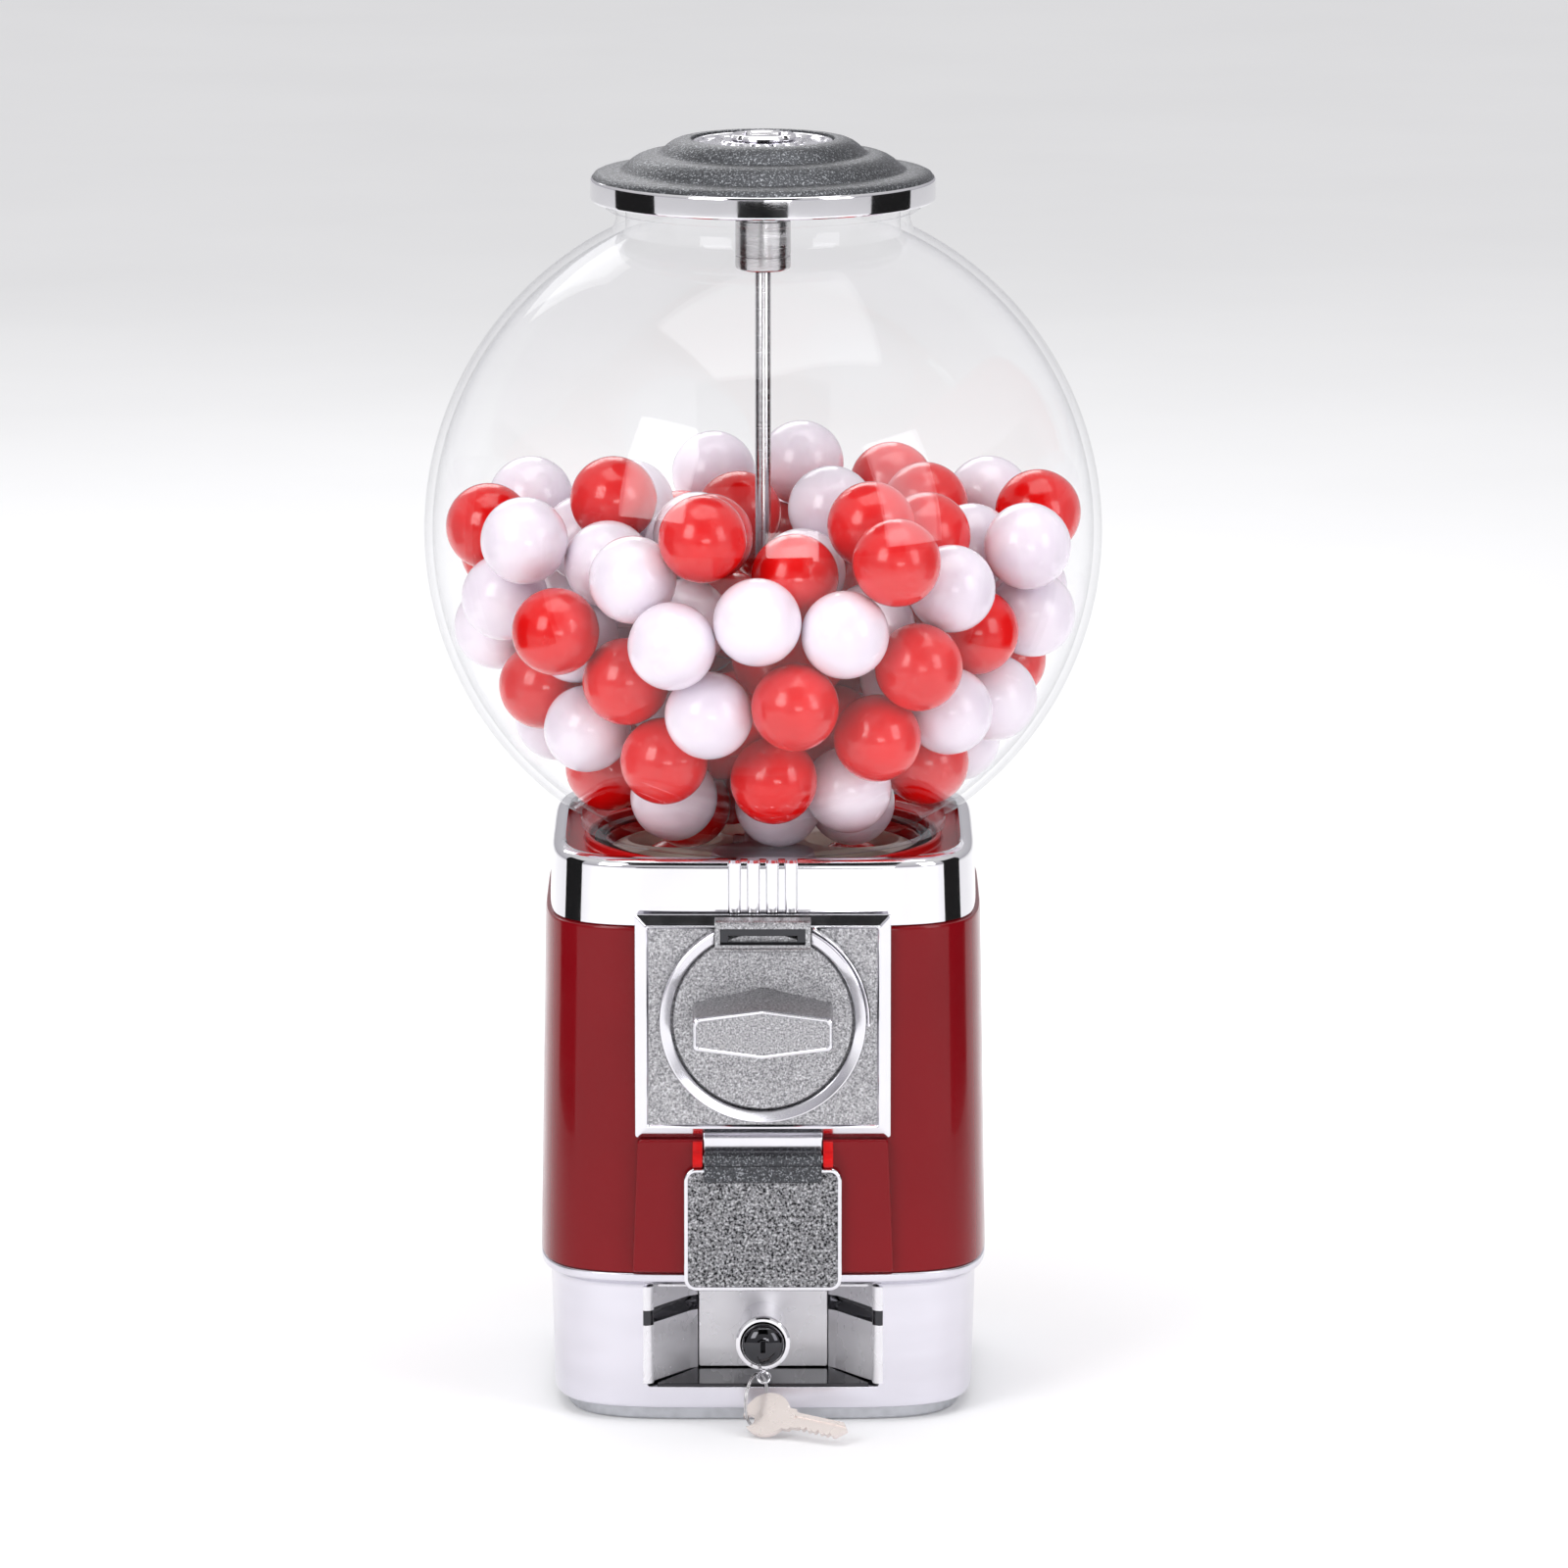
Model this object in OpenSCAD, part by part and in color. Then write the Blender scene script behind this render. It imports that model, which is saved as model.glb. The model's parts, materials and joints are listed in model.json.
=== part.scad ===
// Countertop gumball machine: base with a locked cash drawer, cast body with a coin
// mechanism and a chute door, a dispensing wheel, and a clear globe clamped by a centre rod.
// The origin is the centre of the base's underside. +Z is up and the front faces -Y.

/* [Globe] */
// Outer radius of the globe
globe_r = 125; // [122:1:128]
// Wall of the globe
globe_wall = 3; // [2:0.5:4]
// Height of the globe's centre
globe_z = 319; // [318:0.5:320]

/* [Gumballs] */
// Diameter of one gumball
ball_d = 32; // [31:0.5:32]
// How many gumballs lie in the globe
ball_count = 112; // [40:1:120]

/* [Cabinet] */
// Half width of the body at its top edge
body_top_half = 80; // [79:0.5:81]
// Half width of the body at its bottom edge
body_low_half = 82.25; // [82:0.25:83]
// Wall of the body casting
body_wall = 3.5; // [3:0.5:4]
// Squareness of the cabinet's plan, from round to square
plan_power = 5; // [4.5:0.5:6]
// Width of the coin plate
plate_w = 93; // [90:1:94]

/* [Drive] */
// Teeth on the handle's pinion
pinion_teeth = 12; // [12:1:12]
// Teeth on the wheel's ring gear
ring_teeth = 72; // [72:1:72]
// Pockets in the dispensing wheel
pocket_count = 6; // [6:1:6]

/* [Chute door and drawer] */
// Width of the chute door
door_w = 57.4; // [50:0.2:58]
// Width of the drawer front
drawer_w = 47.4; // [46:0.2:47.6]

/* [Hidden] */
$fn = 64;
eps = 0.01;

// Heights of the cabinet's layers
plinth_h = 5;
lip_z = 54;
body_z = 57;
band_z = 185.5;
band_top = 210.4;
hopper_z = 203;
hopper_t = 3;

// Base
plinth_half = 73.25;
base_low_half = 77.5;
base_top_half = 78.75;
base_wall = 3;
recess_mouth = 40;
recess_back = 24;
recess_floor = 14.5;
recess_top = 51;
recess_y = -53;
sheet = 1.2;
stand_pcd = 78;
stand_hole_r = 3.3;
stand_centre_r = 7;
post_xy = 54;
post_r = 6;
screw_r = 2;

// Band
band_low_half = 78.5;
band_top_half = 77.75;
band_wall = 2.5;
rib_pitch = 6.87;
rib_w = 5;
rib_count = 4;

// Centre rod and lid
rod_r = 2.9;
rod_low = 49;
rod_top = 458;
neck_r = 54;
neck_top = 441.5;
gasket_t = 2;
lid_z = neck_top + gasket_t;
rim_r = 63.4;
rim_low = 442;
barrel_r = 10.15;
barrel_low = 416;
rim_top = 449.8;
medallion_r = 26.2;
medallion_z = 461.3;
medallion_top = 463.8;
knob_r = 12.3;
knob_t = 2.2;
boss_r = 13;
shank_r = 5;
fit = 0.06;

// Dispensing wheel
shaft_z = 152.6;
drum_r = 57;
drum_low = 167;
drum_top = 199.5;
pocket_r = 17.3;
pocket_pcr = 38;
gear_r = 60.48;
gear_face = 3.5;
pinion_r = gear_r * pinion_teeth / ring_teeth;
mesh_z = shaft_z + pinion_r;
tooth_add = 1.35;
tooth_ded = 1.75;
gear_plate_z = mesh_z + tooth_ded;
floor_z = 163.8;
floor_t = 2.9;
flange_z = 156;
flange_t = 3;
well_r = 58;
well_wall = 2.5;

// Coin mechanism
plate_y = -80.8;
plate_t = 3.5;
plate_low = 108.2;
plate_top = 190.9;
bezel_r = 37.6;
bezel_in = 33.4;
bezel_t = 5;
disc_r = 32.9;
disc_y = plate_y - plate_t - 0.5;
disc_t = 2.4;
bar_len = 51.4;
bar_end_h = 11.8;
bar_mid_h = 17.8;
bar_root_len = 51.2;
bar_root_end_h = 13.2;
bar_root_mid_h = 25.6;
bar_out = 25;
hood_half = 17.4;
hood_low = 179.1;
shaft_r = 4;
shaft_end = -57.6;
housing_y = -64;
housing_half = 32;
housing_wall = 2;
pinion_y = -62.2;
mech_screw_x = 34.4;
mech_screw_z = [126, 179];
ratchet_r = 21;
ratchet_teeth = 12;
ratchet_y = -76;
ratchet_t = 3;
pawl_x = 24;
pawl_z = shaft_z - 19;

// Chute and its door
chute_half = 18;
chute_wall = 1.5;
pad_half = 46.5;
pad_y = -84.6;
pad_low = 58;
pad_top = 107.6;
hinge_y = -88.2;
hinge_z = 101.2;
hinge_pin_r = 1.5;
knuckle_r = 3;
knuckle_half = 21.4;
ear_in = 22;
ear_t = 3.6;
door_low = 52;
door_top = 97.7;
door_t = 2.5;

// Lock, key ring and key
lock_z = 31;
lock_r = 8.6;
collar_r = 10.1;
collar_y = -84;
plug_r = 5;
dome_r = 7.7;
eye_pos = [0.3, -83.5, 18.4];
ring_r = 9.6;
wire_r = 0.65;
ring_yaw = 24;
slope = 45;
ring_front = [-sin(ring_yaw), -cos(ring_yaw), 0];
ring_centre = eye_pos + ring_r * (cos(slope) * ring_front - [0, 0, sin(slope)]);
key_hole = ring_centre + ring_r * (cos(slope) * ring_front - [0, 0, sin(slope)]);
bow_r = 8.9;
key_t = 2;

function sgn_pow(v, p) = sign(v) * pow(abs(v), p);

// Rounded square plan with slightly bulged sides, half width h
function plan(h, count = 64) = [
  for (i = [0:count - 1])
    let (a = 360 * i / count)
      h * [sgn_pow(cos(a), 2 / plan_power), sgn_pow(sin(a), 2 / plan_power)]
];

// A drafted block on that plan, between two heights
module plan_block(low, low_half, high, high_half) {
  translate([0, 0, low])
    linear_extrude(high - low, scale = high_half / low_half)
      polygon(plan(low_half));
}

// The same block with straight sides
module plan_slab(low, high, half) {
  translate([0, 0, low])
    linear_extrude(high - low)
      polygon(plan(half));
}

// A box given by its lowest and highest corners
module span(low, high) {
  translate(low)
    cube(high - low);
}

// A cylinder along Y from y0 to y1, at x and z
module y_rod(x, z, y0, y1, r, sides = 64) {
  translate([x, y1, z])
    rotate([90, 0, 0])
      cylinder(h = y1 - y0, r = r, $fn = sides);
}

// A cylinder along X from x0 to x1, at y and z
module x_rod(y, z, x0, x1, r) {
  translate([x0, y, z])
    rotate([0, 90, 0])
      cylinder(h = x1 - x0, r = r);
}

// Children at the four corner posts
module at_posts() {
  for (sx = [-1, 1], sy = [-1, 1])
    translate([sx * post_xy, sy * post_xy, 0])
      children();
}

// Webs that tie the corner posts to the casting's walls
module post_webs(low, high) {
  for (sx = [-1, 1], sy = [-1, 1])
    hull() {
      translate([sx * (post_xy + 2), sy * (post_xy + 2), low])
        cylinder(h = high - low, r = 2, $fn = 16);
      translate([sx * 66.4, sy * 66.4, low])
        cylinder(h = high - low, r = 2, $fn = 16);
    }
}

// Flat ring between two heights
module ring(low, high, inner, outer) {
  translate([0, 0, low])
    difference() {
      cylinder(h = high - low, r = outer);
      translate([0, 0, -1])
        cylinder(h = high - low + 2, r = inner);
    }
}

// ---- Base ----

module base_plate() {
  color("silver")
    difference() {
      plan_slab(0, plinth_h, plinth_half);
      translate([0, 0, -1])
        cylinder(h = plinth_h + 2, r = stand_centre_r);
      for (i = [0:3])
        rotate(45 + 90 * i)
          translate([stand_pcd / 2, 0, -1])
            cylinder(h = plinth_h + 2, r = stand_hole_r);
      at_posts()
        translate([0, 0, -1])
          cylinder(h = plinth_h + 2, r = screw_r + 0.3);
      at_posts()
        translate([0, 0, -1])
          cylinder(h = 3.2, r = 2 * screw_r + 0.4);
    }
}

module base_casting() {
  color([0.72, 0.71, 0.76])
    difference() {
      union() {
        difference() {
          union() {
            plan_block(plinth_h, base_low_half, lip_z, base_top_half);
            plan_slab(lip_z - 0.6, body_z, body_low_half);
          }
          plan_slab(plinth_h - 1, body_z + 1, base_low_half - base_wall);
        }
        at_posts()
          translate([0, 0, plinth_h])
            cylinder(h = body_z - plinth_h, r = post_r);
        post_webs(plinth_h, lip_z);
      }
      span([-recess_mouth - 1.4, -90, recess_floor - sheet - 0.1],
           [recess_mouth + 1.4, -70, recess_top + sheet + 0.1]);
      at_posts()
        translate([0, 0, plinth_h - 1])
          cylinder(h = body_z, r = screw_r);
    }
}

// Trapezium of the front recess in plan, grown by g
function recess_plan(g) = [
  [-recess_mouth - g, -77.6], [recess_mouth + g, -77.6],
  [recess_back + g, recess_y + g], [-recess_back - g, recess_y + g]
];

module recess_surround() {
  color("gainsboro")
    difference() {
      union() {
        translate([0, 0, recess_floor - sheet])
          linear_extrude(recess_top - recess_floor + 2 * sheet)
            polygon(recess_plan(sheet));
        // Ceiling tongue and the catch that the cam turns up behind
        span([-10, recess_y, recess_top], [10, -40, recess_top + sheet]);
        span([-10, -41.2, 46.4], [10, -40, recess_top + eps]);
      }
      translate([0, 0, recess_floor])
        linear_extrude(recess_top - recess_floor)
          polygon(concat(
            [[-recess_mouth - 0.5, -80], [recess_mouth + 0.5, -80]],
            [[recess_back, recess_y - 1], [recess_back, recess_y + 3]],
            [[-recess_back, recess_y + 3], [-recess_back, recess_y - 1]]
          ));
    }
}

module drawer_guide() {
  channel = drawer_w / 2 - 1;
  color("dimgray")
    difference() {
      union() {
        span([-channel - 2, -50, 12.8], [channel + 2, 34, 24]);
        for (s = [-1, 1])
          span([s * 12 - 3, -50, plinth_h], [s * 12 + 3, 34, 12.8 + eps]);
      }
      span([-channel, -51, 15], [channel, 32, 25]);
    }
}

module floor_plate() {
  low = body_z + 0.2;
  color("dimgray")
    difference() {
      plan_slab(low, low + 3, body_top_half - body_wall - 0.6);
      translate([0, 0, low - 1])
        cylinder(h = 5, r = rod_r + 0.1);
      span([-22, -90, low - 1], [22, -50, low + 4]);
      for (s = [-1, 1])
        translate([s * 32, 0, low + 1.5])
          cube([20, 50, 6], center = true);
      at_posts()
        translate([0, 0, low - 1])
          cylinder(h = 5, r = post_r + 0.3);
    }
}

module base_screws() {
  color("silver")
    at_posts() {
      translate([0, 0, 0.4])
        cylinder(h = 1.8, r = 2 * screw_r);
      cylinder(h = body_z + 12, r = screw_r - 0.02);
    }
}

// ---- Body ----

module ear(side) {
  x0 = side > 0 ? ear_in : -ear_in - ear_t;
  x_rod(hinge_y, hinge_z, x0, x0 + ear_t, knuckle_r);
  span([x0, hinge_y, hinge_z - knuckle_r], [x0 + ear_t, pad_y + 1, pad_top]);
}

module body_shell() {
  inner_low = body_low_half - body_wall;
  inner_top = body_top_half - body_wall;
  color([0.5, 0.08, 0.1])
    difference() {
      union() {
        difference() {
          union() {
            plan_block(body_z, body_low_half, band_z, body_top_half);
            span([-pad_half, pad_y, pad_low], [pad_half, -70, pad_top]);
          }
          plan_block(body_z - eps, inner_low, band_z + eps, inner_top);
        }
        at_posts()
          translate([0, 0, body_z])
            cylinder(h = flange_z - body_z, r = post_r);
        post_webs(body_z + 4, flange_z);
        for (side = [-1, 1])
          ear(side);
      }
      // Flat seat of the coin plate, the opening behind it, the notch for its tab, the chute's outlet
      span([-plate_w / 2 - 0.2, -90, plate_low - 0.2], [plate_w / 2 + 0.2, plate_y + 0.03, band_z + 1]);
      span([-38, -90, 114], [38, -60, band_z + 1]);
      span([-22, -90, 100.4], [22, -82, 108]);
      span([-chute_half - chute_wall - 0.2, -90, 58.2],
           [chute_half + chute_wall + 0.2, -60, 104.4]);
      x_rod(hinge_y, hinge_z, -40, 40, hinge_pin_r);
      at_posts()
        translate([0, 0, body_z - 1])
          cylinder(h = flange_z, r = screw_r);
    }
}

module top_band() {
  color("gainsboro")
    difference() {
      union() {
        difference() {
          plan_block(band_z, band_low_half, band_top - 3, band_top_half + 0.1);
          plan_slab(band_z - 1, band_top, band_top_half - band_wall);
        }
        difference() {
          plan_block(band_top - 3, band_top_half + 0.1, band_top, band_top_half - 1.6);
          plan_slab(band_z - 1, band_top + 1, band_top_half - band_wall - 1.4);
        }
        // Ledge that carries the hopper plate
        difference() {
          plan_slab(hopper_z - hopper_t - 3.2, hopper_z - hopper_t - 0.2,
                    band_top_half - band_wall + 0.4);
          plan_slab(band_z, band_top, 68);
        }
        for (i = [0:rib_count - 1])
          span([(i - (rib_count - 1) / 2) * rib_pitch - rib_w / 2, -band_low_half - 1.7, plate_top + 0.2],
               [(i - (rib_count - 1) / 2) * rib_pitch + rib_w / 2, -75, band_top]);
      }
      // Room for the coin mechanism behind the band's lower edge
      span([-38, -76.5, band_z - 1], [38, -66, 187]);
    }
}

module hopper_plate() {
  color([0.75, 0.1, 0.1])
    difference() {
      union() {
        plan_slab(hopper_z - hopper_t, hopper_z, band_top_half - band_wall - 1.6);
        translate([0, 0, 169.8])
          cylinder(h = hopper_z - 169.8, r = well_r + well_wall);
        ring(hopper_z - 1, hopper_z + 3.2, 64.2, 66.2);
      }
      translate([0, 0, 160])
        cylinder(h = 60, r = well_r);
    }
}

module wheel_floor() {
  color("dimgray")
    difference() {
      union() {
        plan_slab(flange_z, flange_z + flange_t, 72);
        ring(flange_z, floor_z + 1, 52.5, 56);
        translate([0, 0, floor_z])
          cylinder(h = floor_t, r = 56.5);
        ring(flange_z, floor_z + 1, 2, 9);
      }
      translate([0, 0, flange_z - 1])
        cylinder(h = 20, r = rod_r + 0.1);
      translate([0, -pocket_pcr, flange_z - 1])
        cylinder(h = 20, r = pocket_r);
      span([-36, -90, flange_z - 1], [36, -56.4, flange_z + flange_t + 1]);
      at_posts()
        translate([0, 0, flange_z - 1])
          cylinder(h = 6, r = screw_r + 0.3);
    }
}

module floor_screws() {
  color("silver")
    at_posts() {
      translate([0, 0, flange_z + flange_t])
        cylinder(h = 2, r = 2 * screw_r);
      translate([0, 0, flange_z - 14])
        cylinder(h = 18, r = screw_r - 0.02);
    }
}

// Sheet hood over the drop pocket that keeps gumballs from falling straight through
module brush_housing() {
  color("silver")
    difference() {
      union() {
        intersection() {
          translate([0, -pocket_pcr, 200.4])
            cylinder(h = 5.6, r1 = 20.5, r2 = 18.5);
          translate([0, 0, 199])
            cylinder(h = 10, r = 56.8);
        }
        span([-10, -62, 203.2], [10, -54, 204.4]);
      }
      translate([0, -pocket_pcr, 200])
        cylinder(h = 4.6, r1 = 19.2, r2 = 17.2);
    }
}

module wiper_brush() {
  color("tan")
    span([11.5, -48, 200.6], [14.5, -30, 204.3]);
}

// ---- Globe ----

module globe() {
  low_r = 61;
  step_r = 67.6;
  seat_z = hopper_z + 1.5;
  color([0.9, 0.94, 0.97, 0.35])
    difference() {
      union() {
        intersection() {
          translate([0, 0, globe_z])
            sphere(r = globe_r);
          span([-200, -200, 209], [200, 200, 436]);
        }
        translate([0, 0, seat_z])
          cylinder(h = 14, r = low_r);
        translate([0, 0, 208.5])
          cylinder(h = 5.6, r = step_r);
        translate([0, 0, 425])
          cylinder(h = neck_top - 425, r = neck_r);
        translate([0, 0, neck_top - 3])
          cylinder(h = 3, r = neck_r + 4);
      }
      intersection() {
        translate([0, 0, globe_z])
          sphere(r = globe_r - globe_wall);
        span([-200, -200, 212], [200, 200, 430]);
      }
      translate([0, 0, 200])
        cylinder(h = 20, r = low_r - 3.5);
      translate([0, 0, 420])
        cylinder(h = 30, r = neck_r - 3.5);
    }
}

module globe_seat_gasket() {
  color("dimgray")
    difference() {
      ring(hopper_z, hopper_z + 1.5, 58.4, 62.5);
      // Gap for the brush housing's tab
      span([-10.4, -70, hopper_z - 1], [10.4, -50, hopper_z + 3]);
    }
}

module globe_top_gasket() {
  color("dimgray")
    ring(neck_top, lid_z, neck_r - 3, neck_r + 4);
}

module centre_rod() {
  color("lightgray")
    translate([0, 0, rod_low])
      cylinder(h = rod_top - rod_low, r = rod_r);
}

module rod_nut() {
  color("silver")
    difference() {
      translate([0, 0, 50.4])
        cylinder(h = 5, r = 5.8, $fn = 6);
      translate([0, 0, 49])
        cylinder(h = 9, r = rod_r + 0.02);
    }
}

module rod_washer() {
  color("silver")
    ring(55.4, body_z + 0.2, rod_r + 0.02, 9);
}

// ---- Gumballs ----

ball_r = ball_d / 2;
pile_floor = 200.2 + ball_r;
shell_r = globe_r - globe_wall - 0.2 - ball_r;
tries = 90;

// Lowest centre height that the globe, the rod, the agitator and the hood allow at [x, y]
function bed(x, y) =
  let (d = norm([x, y]))
    d < rod_r + 0.4 + ball_r ? 1000
    : max(
        globe_z - sqrt(max(0, shell_r * shell_r - d * d)),
        norm([x, y + pocket_pcr]) < 20.7 + ball_r ? 206.2 + ball_r : 0,
        d < 7.4 + ball_r ? 208.8 + ball_r : 0,
        d < 12.4 + ball_r ? 203.8 + ball_r : 0,
        pile_floor
      );

// Height at which a ball dropped at [x, y] comes to lie on the balls already there
function rest_height(x, y, placed) =
  max([
    bed(x, y),
    for (p = placed)
      let (dx = p[0] - x, dy = p[1] - y, gap = pow(ball_d + 0.12, 2) - dx * dx - dy * dy)
        if (gap > 0) p[2] + sqrt(gap)
  ]);

// Index of the smallest value
function lowest(v, i = 1, best = 0) =
  i >= len(v) ? best : lowest(v, i + 1, v[i] < v[best] ? i : best);

// Each ball takes the lowest of a set of places drawn over the globe's width
function pile(count, placed = []) =
  len(placed) >= count ? placed
  : let (
      seed = 100 + len(placed),
      ra = rands(0, 360, tries, seed),
      rr = rands(0, 1, tries, seed + 5000),
      spots = [for (i = [0:tries - 1]) (shell_r - 0.5) * sqrt(rr[i]) * [cos(ra[i]), sin(ra[i])]],
      heights = [for (s = spots) rest_height(s[0], s[1], placed)],
      pick = lowest(heights)
    )
    pile(count, concat(placed, [[spots[pick][0], spots[pick][1], heights[pick]]]));

// A ball is red or white by a draw, with more red low down
function is_red(i, z) = rands(0, 1, 1, 900 + i)[0] < (z < 270 ? 0.62 : 0.42);

module pile_of(red) {
  places = pile(ball_count);
  for (i = [0:len(places) - 1])
    if (is_red(i, places[i][2]) == red)
      translate(places[i])
        sphere(r = ball_r);
}

module balls_red() {
  color("red")
    pile_of(true);
}

module balls_white() {
  color("white")
    pile_of(false);
}

// ---- Coin mechanism ----

module coin_plate() {
  front = plate_y - plate_t;
  color("silver")
    difference() {
      union() {
        span([-plate_w / 2, front, plate_low], [plate_w / 2, plate_y, plate_top]);
        span([-21.8, front, 102.6], [21.8, plate_y - 1.5, plate_low + 1]);
      }
      // Sunk field inside the raised border
      difference() {
        span([-plate_w / 2 + 5, front - 1, plate_low + 5],
             [plate_w / 2 - 5, front + 0.9, plate_top - 5]);
        y_rod(0, shaft_z, front, front + 1, bezel_r + 0.3);
      }
      y_rod(0, shaft_z, front - 1, plate_y + 1, shaft_r + fit);
      for (sx = [-1, 1], z = mech_screw_z)
        y_rod(sx * mech_screw_x, z, plate_y - 2, plate_y + 1, 1.5);
    }
}

module coin_bezel() {
  front = plate_y - plate_t - bezel_t;
  color("silver")
    difference() {
      union() {
        y_rod(0, shaft_z, front, plate_y - plate_t, bezel_r);
        // Outer guard wall from the hood round to the right
        intersection() {
          y_rod(0, shaft_z, front + 0.8, plate_y - plate_t, bezel_r + 1.6);
          span([16, front, shaft_z - 1.5], [60, plate_y, shaft_z + 32]);
        }
      }
      y_rod(0, shaft_z, front - 1, plate_y, bezel_in);
      span([-17.8, front - 1, 176], [17.8, plate_y, 200]);
    }
}

module coin_hood() {
  front = plate_y - plate_t;
  color("gray")
    difference() {
      union() {
        span([-hood_half, front - 7.5, hood_low + 1.2], [hood_half, front, plate_top - 0.5]);
        span([-hood_half, front - 8.8, hood_low], [hood_half, front, hood_low + 1.3]);
      }
      // Wide mouth, and the slot for the coin behind it
      span([-15.4, front - 9, 181.6], [15.4, front - 4.8, 187.4]);
      span([-12.5, front - 5, 182.2], [12.5, front + 1, 184.4]);
      // Room behind it for the turning disc
      y_rod(0, shaft_z, disc_y - disc_t - 0.5, front + 1, disc_r + 0.4);
    }
}

module mech_housing() {
  low = shaft_z - housing_half + 1;
  high = shaft_z + housing_half - 1;
  color("dimgray")
    difference() {
      union() {
        span([-housing_half, plate_y + 0.05, low], [housing_half, housing_y, high]);
        for (sx = [-1, 1], z = mech_screw_z)
          y_rod(sx * mech_screw_x, z, plate_y + 0.05, -76, 3.2);
      }
      span([-housing_half + housing_wall, plate_y - 1, low + housing_wall],
           [housing_half - housing_wall, housing_y - housing_wall, high - housing_wall]);
      y_rod(0, shaft_z, housing_y - 5, housing_y + 1, shaft_r + fit);
      for (sx = [-1, 1], z = mech_screw_z)
        y_rod(sx * mech_screw_x, z, plate_y - 1, -75, 1.5);
    }
  // Stud that carries the pawl
  color("dimgray")
    y_rod(pawl_x, pawl_z, ratchet_y - 1, housing_y - 1, 2);
}

module mech_screws() {
  color("silver")
    for (sx = [-1, 1], z = mech_screw_z) {
      y_rod(sx * mech_screw_x, z, -82.4, -75, 1.48);
      y_rod(sx * mech_screw_x, z, -76, -74.2, 2.2);
    }
}

module handle_knob() {
  back = disc_y - disc_t;
  color("silver")
    difference() {
      union() {
        y_rod(0, shaft_z, back, disc_y, disc_r);
        // Long six-sided grip, drafted towards its face
        hull() {
          translate([0, back + eps, shaft_z])
            rotate([90, 0, 0])
              linear_extrude(eps)
                polygon(grip_outline(bar_root_len / 2, bar_root_end_h / 2, bar_root_mid_h / 2));
          translate([0, back - bar_out + 1, shaft_z])
            rotate([90, 0, 0])
              linear_extrude(1)
                polygon(grip_outline(bar_len / 2, bar_end_h / 2, bar_mid_h / 2));
        }
      }
      y_rod(0, shaft_z, -92, disc_y + 1, shaft_r);
    }
}

// Outline of the grip: square ends that rise to a ridge in the middle
function grip_outline(half, end, mid) = [
  [-half, -end + 1.5], [-half + 1.5, -end], [0, -mid], [half - 1.5, -end], [half, -end + 1.5],
  [half, end - 1.5], [half - 1.5, end], [0, mid], [-half + 1.5, end], [-half, end - 1.5]
];

module drive_shaft() {
  color("lightgray")
    y_rod(0, shaft_z, -92, shaft_end, shaft_r);
}

module coin_wheel() {
  color("goldenrod")
    difference() {
      y_rod(0, shaft_z, -71.6, -68.6, 26);
      y_rod(0, shaft_z, -73, -66, shaft_r);
      // Pocket that takes one coin
      y_rod(0, shaft_z + 20, -72, -70, 12.6);
    }
}

module ratchet_wheel() {
  step = 360 / ratchet_teeth;
  color("gray")
    difference() {
      translate([0, ratchet_y + ratchet_t, shaft_z])
        rotate([90, 0, 0])
          linear_extrude(ratchet_t)
            polygon([
              for (i = [0:ratchet_teeth - 1], k = [0:1])
                let (r = k == 0 ? ratchet_r : ratchet_r - 3.4, a = step * i + (k == 0 ? 0 : 3))
                  r * [cos(a), sin(a)]
            ]);
      y_rod(0, shaft_z, -80, -70, shaft_r);
    }
}

module drive_pinion() {
  color("gray")
    difference() {
      translate([0, pinion_y + gear_face, shaft_z])
        rotate([90, 0, 0])
          linear_extrude(gear_face)
            polygon(gear_outline(pinion_teeth, pinion_r));
      y_rod(0, shaft_z, -70, -50, shaft_r);
    }
}

// Outline of a small spur gear: each tooth narrows from its root to its tip
function gear_outline(teeth, pitch_r) = [
  for (i = [0:teeth - 1], k = [0:3])
    let (
      step = 360 / teeth,
      tip = k == 1 || k == 2,
      half_share = tip ? 0.1 : 0.27,
      r = tip ? pitch_r + tooth_add : pitch_r - tooth_ded,
      a = 90 + step * (i + (k < 2 ? -half_share : half_share))
    )
      r * [cos(a), sin(a)]
];

module shaft_clip() {
  color("gray")
    difference() {
      y_rod(0, shaft_z, -63.6, -62.6, 7);
      y_rod(0, shaft_z, -65, -61, shaft_r);
    }
}

module pawl() {
  color("gray")
    difference() {
      union() {
        y_rod(pawl_x, pawl_z, ratchet_y, ratchet_y + ratchet_t, 3.8);
        translate([pawl_x, ratchet_y + ratchet_t, pawl_z])
          rotate([90, 0, 0])
            linear_extrude(ratchet_t)
              polygon([[-2.5, -3.5], [-12.5, -3.2], [-12.5, -1.6], [-2.5, 2.5]]);
      }
      y_rod(pawl_x, pawl_z, -80, -70, 2 + fit);
    }
}

module pawl_spring() {
  color("lightgray")
    for (i = [0:2])
      translate([pawl_x, -72.4 + 1.3 * i, pawl_z])
        rotate([90, 0, 0])
          rotate_extrude()
            translate([3.2, 0])
              circle(r = 0.5);
}

// ---- Dispensing wheel ----

module dispensing_wheel() {
  color("ivory")
    difference() {
      translate([0, 0, drum_low])
        cylinder(h = drum_top - drum_low, r = drum_r);
      for (i = [0:pocket_count - 1])
        rotate(-90 + 360 / pocket_count * i)
          translate([pocket_pcr, 0, drum_low - 1])
            cylinder(h = drum_top - drum_low + 2, r = pocket_r);
      translate([0, 0, drum_low - 1])
        cylinder(h = 50, r = rod_r + fit);
    }
}

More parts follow.
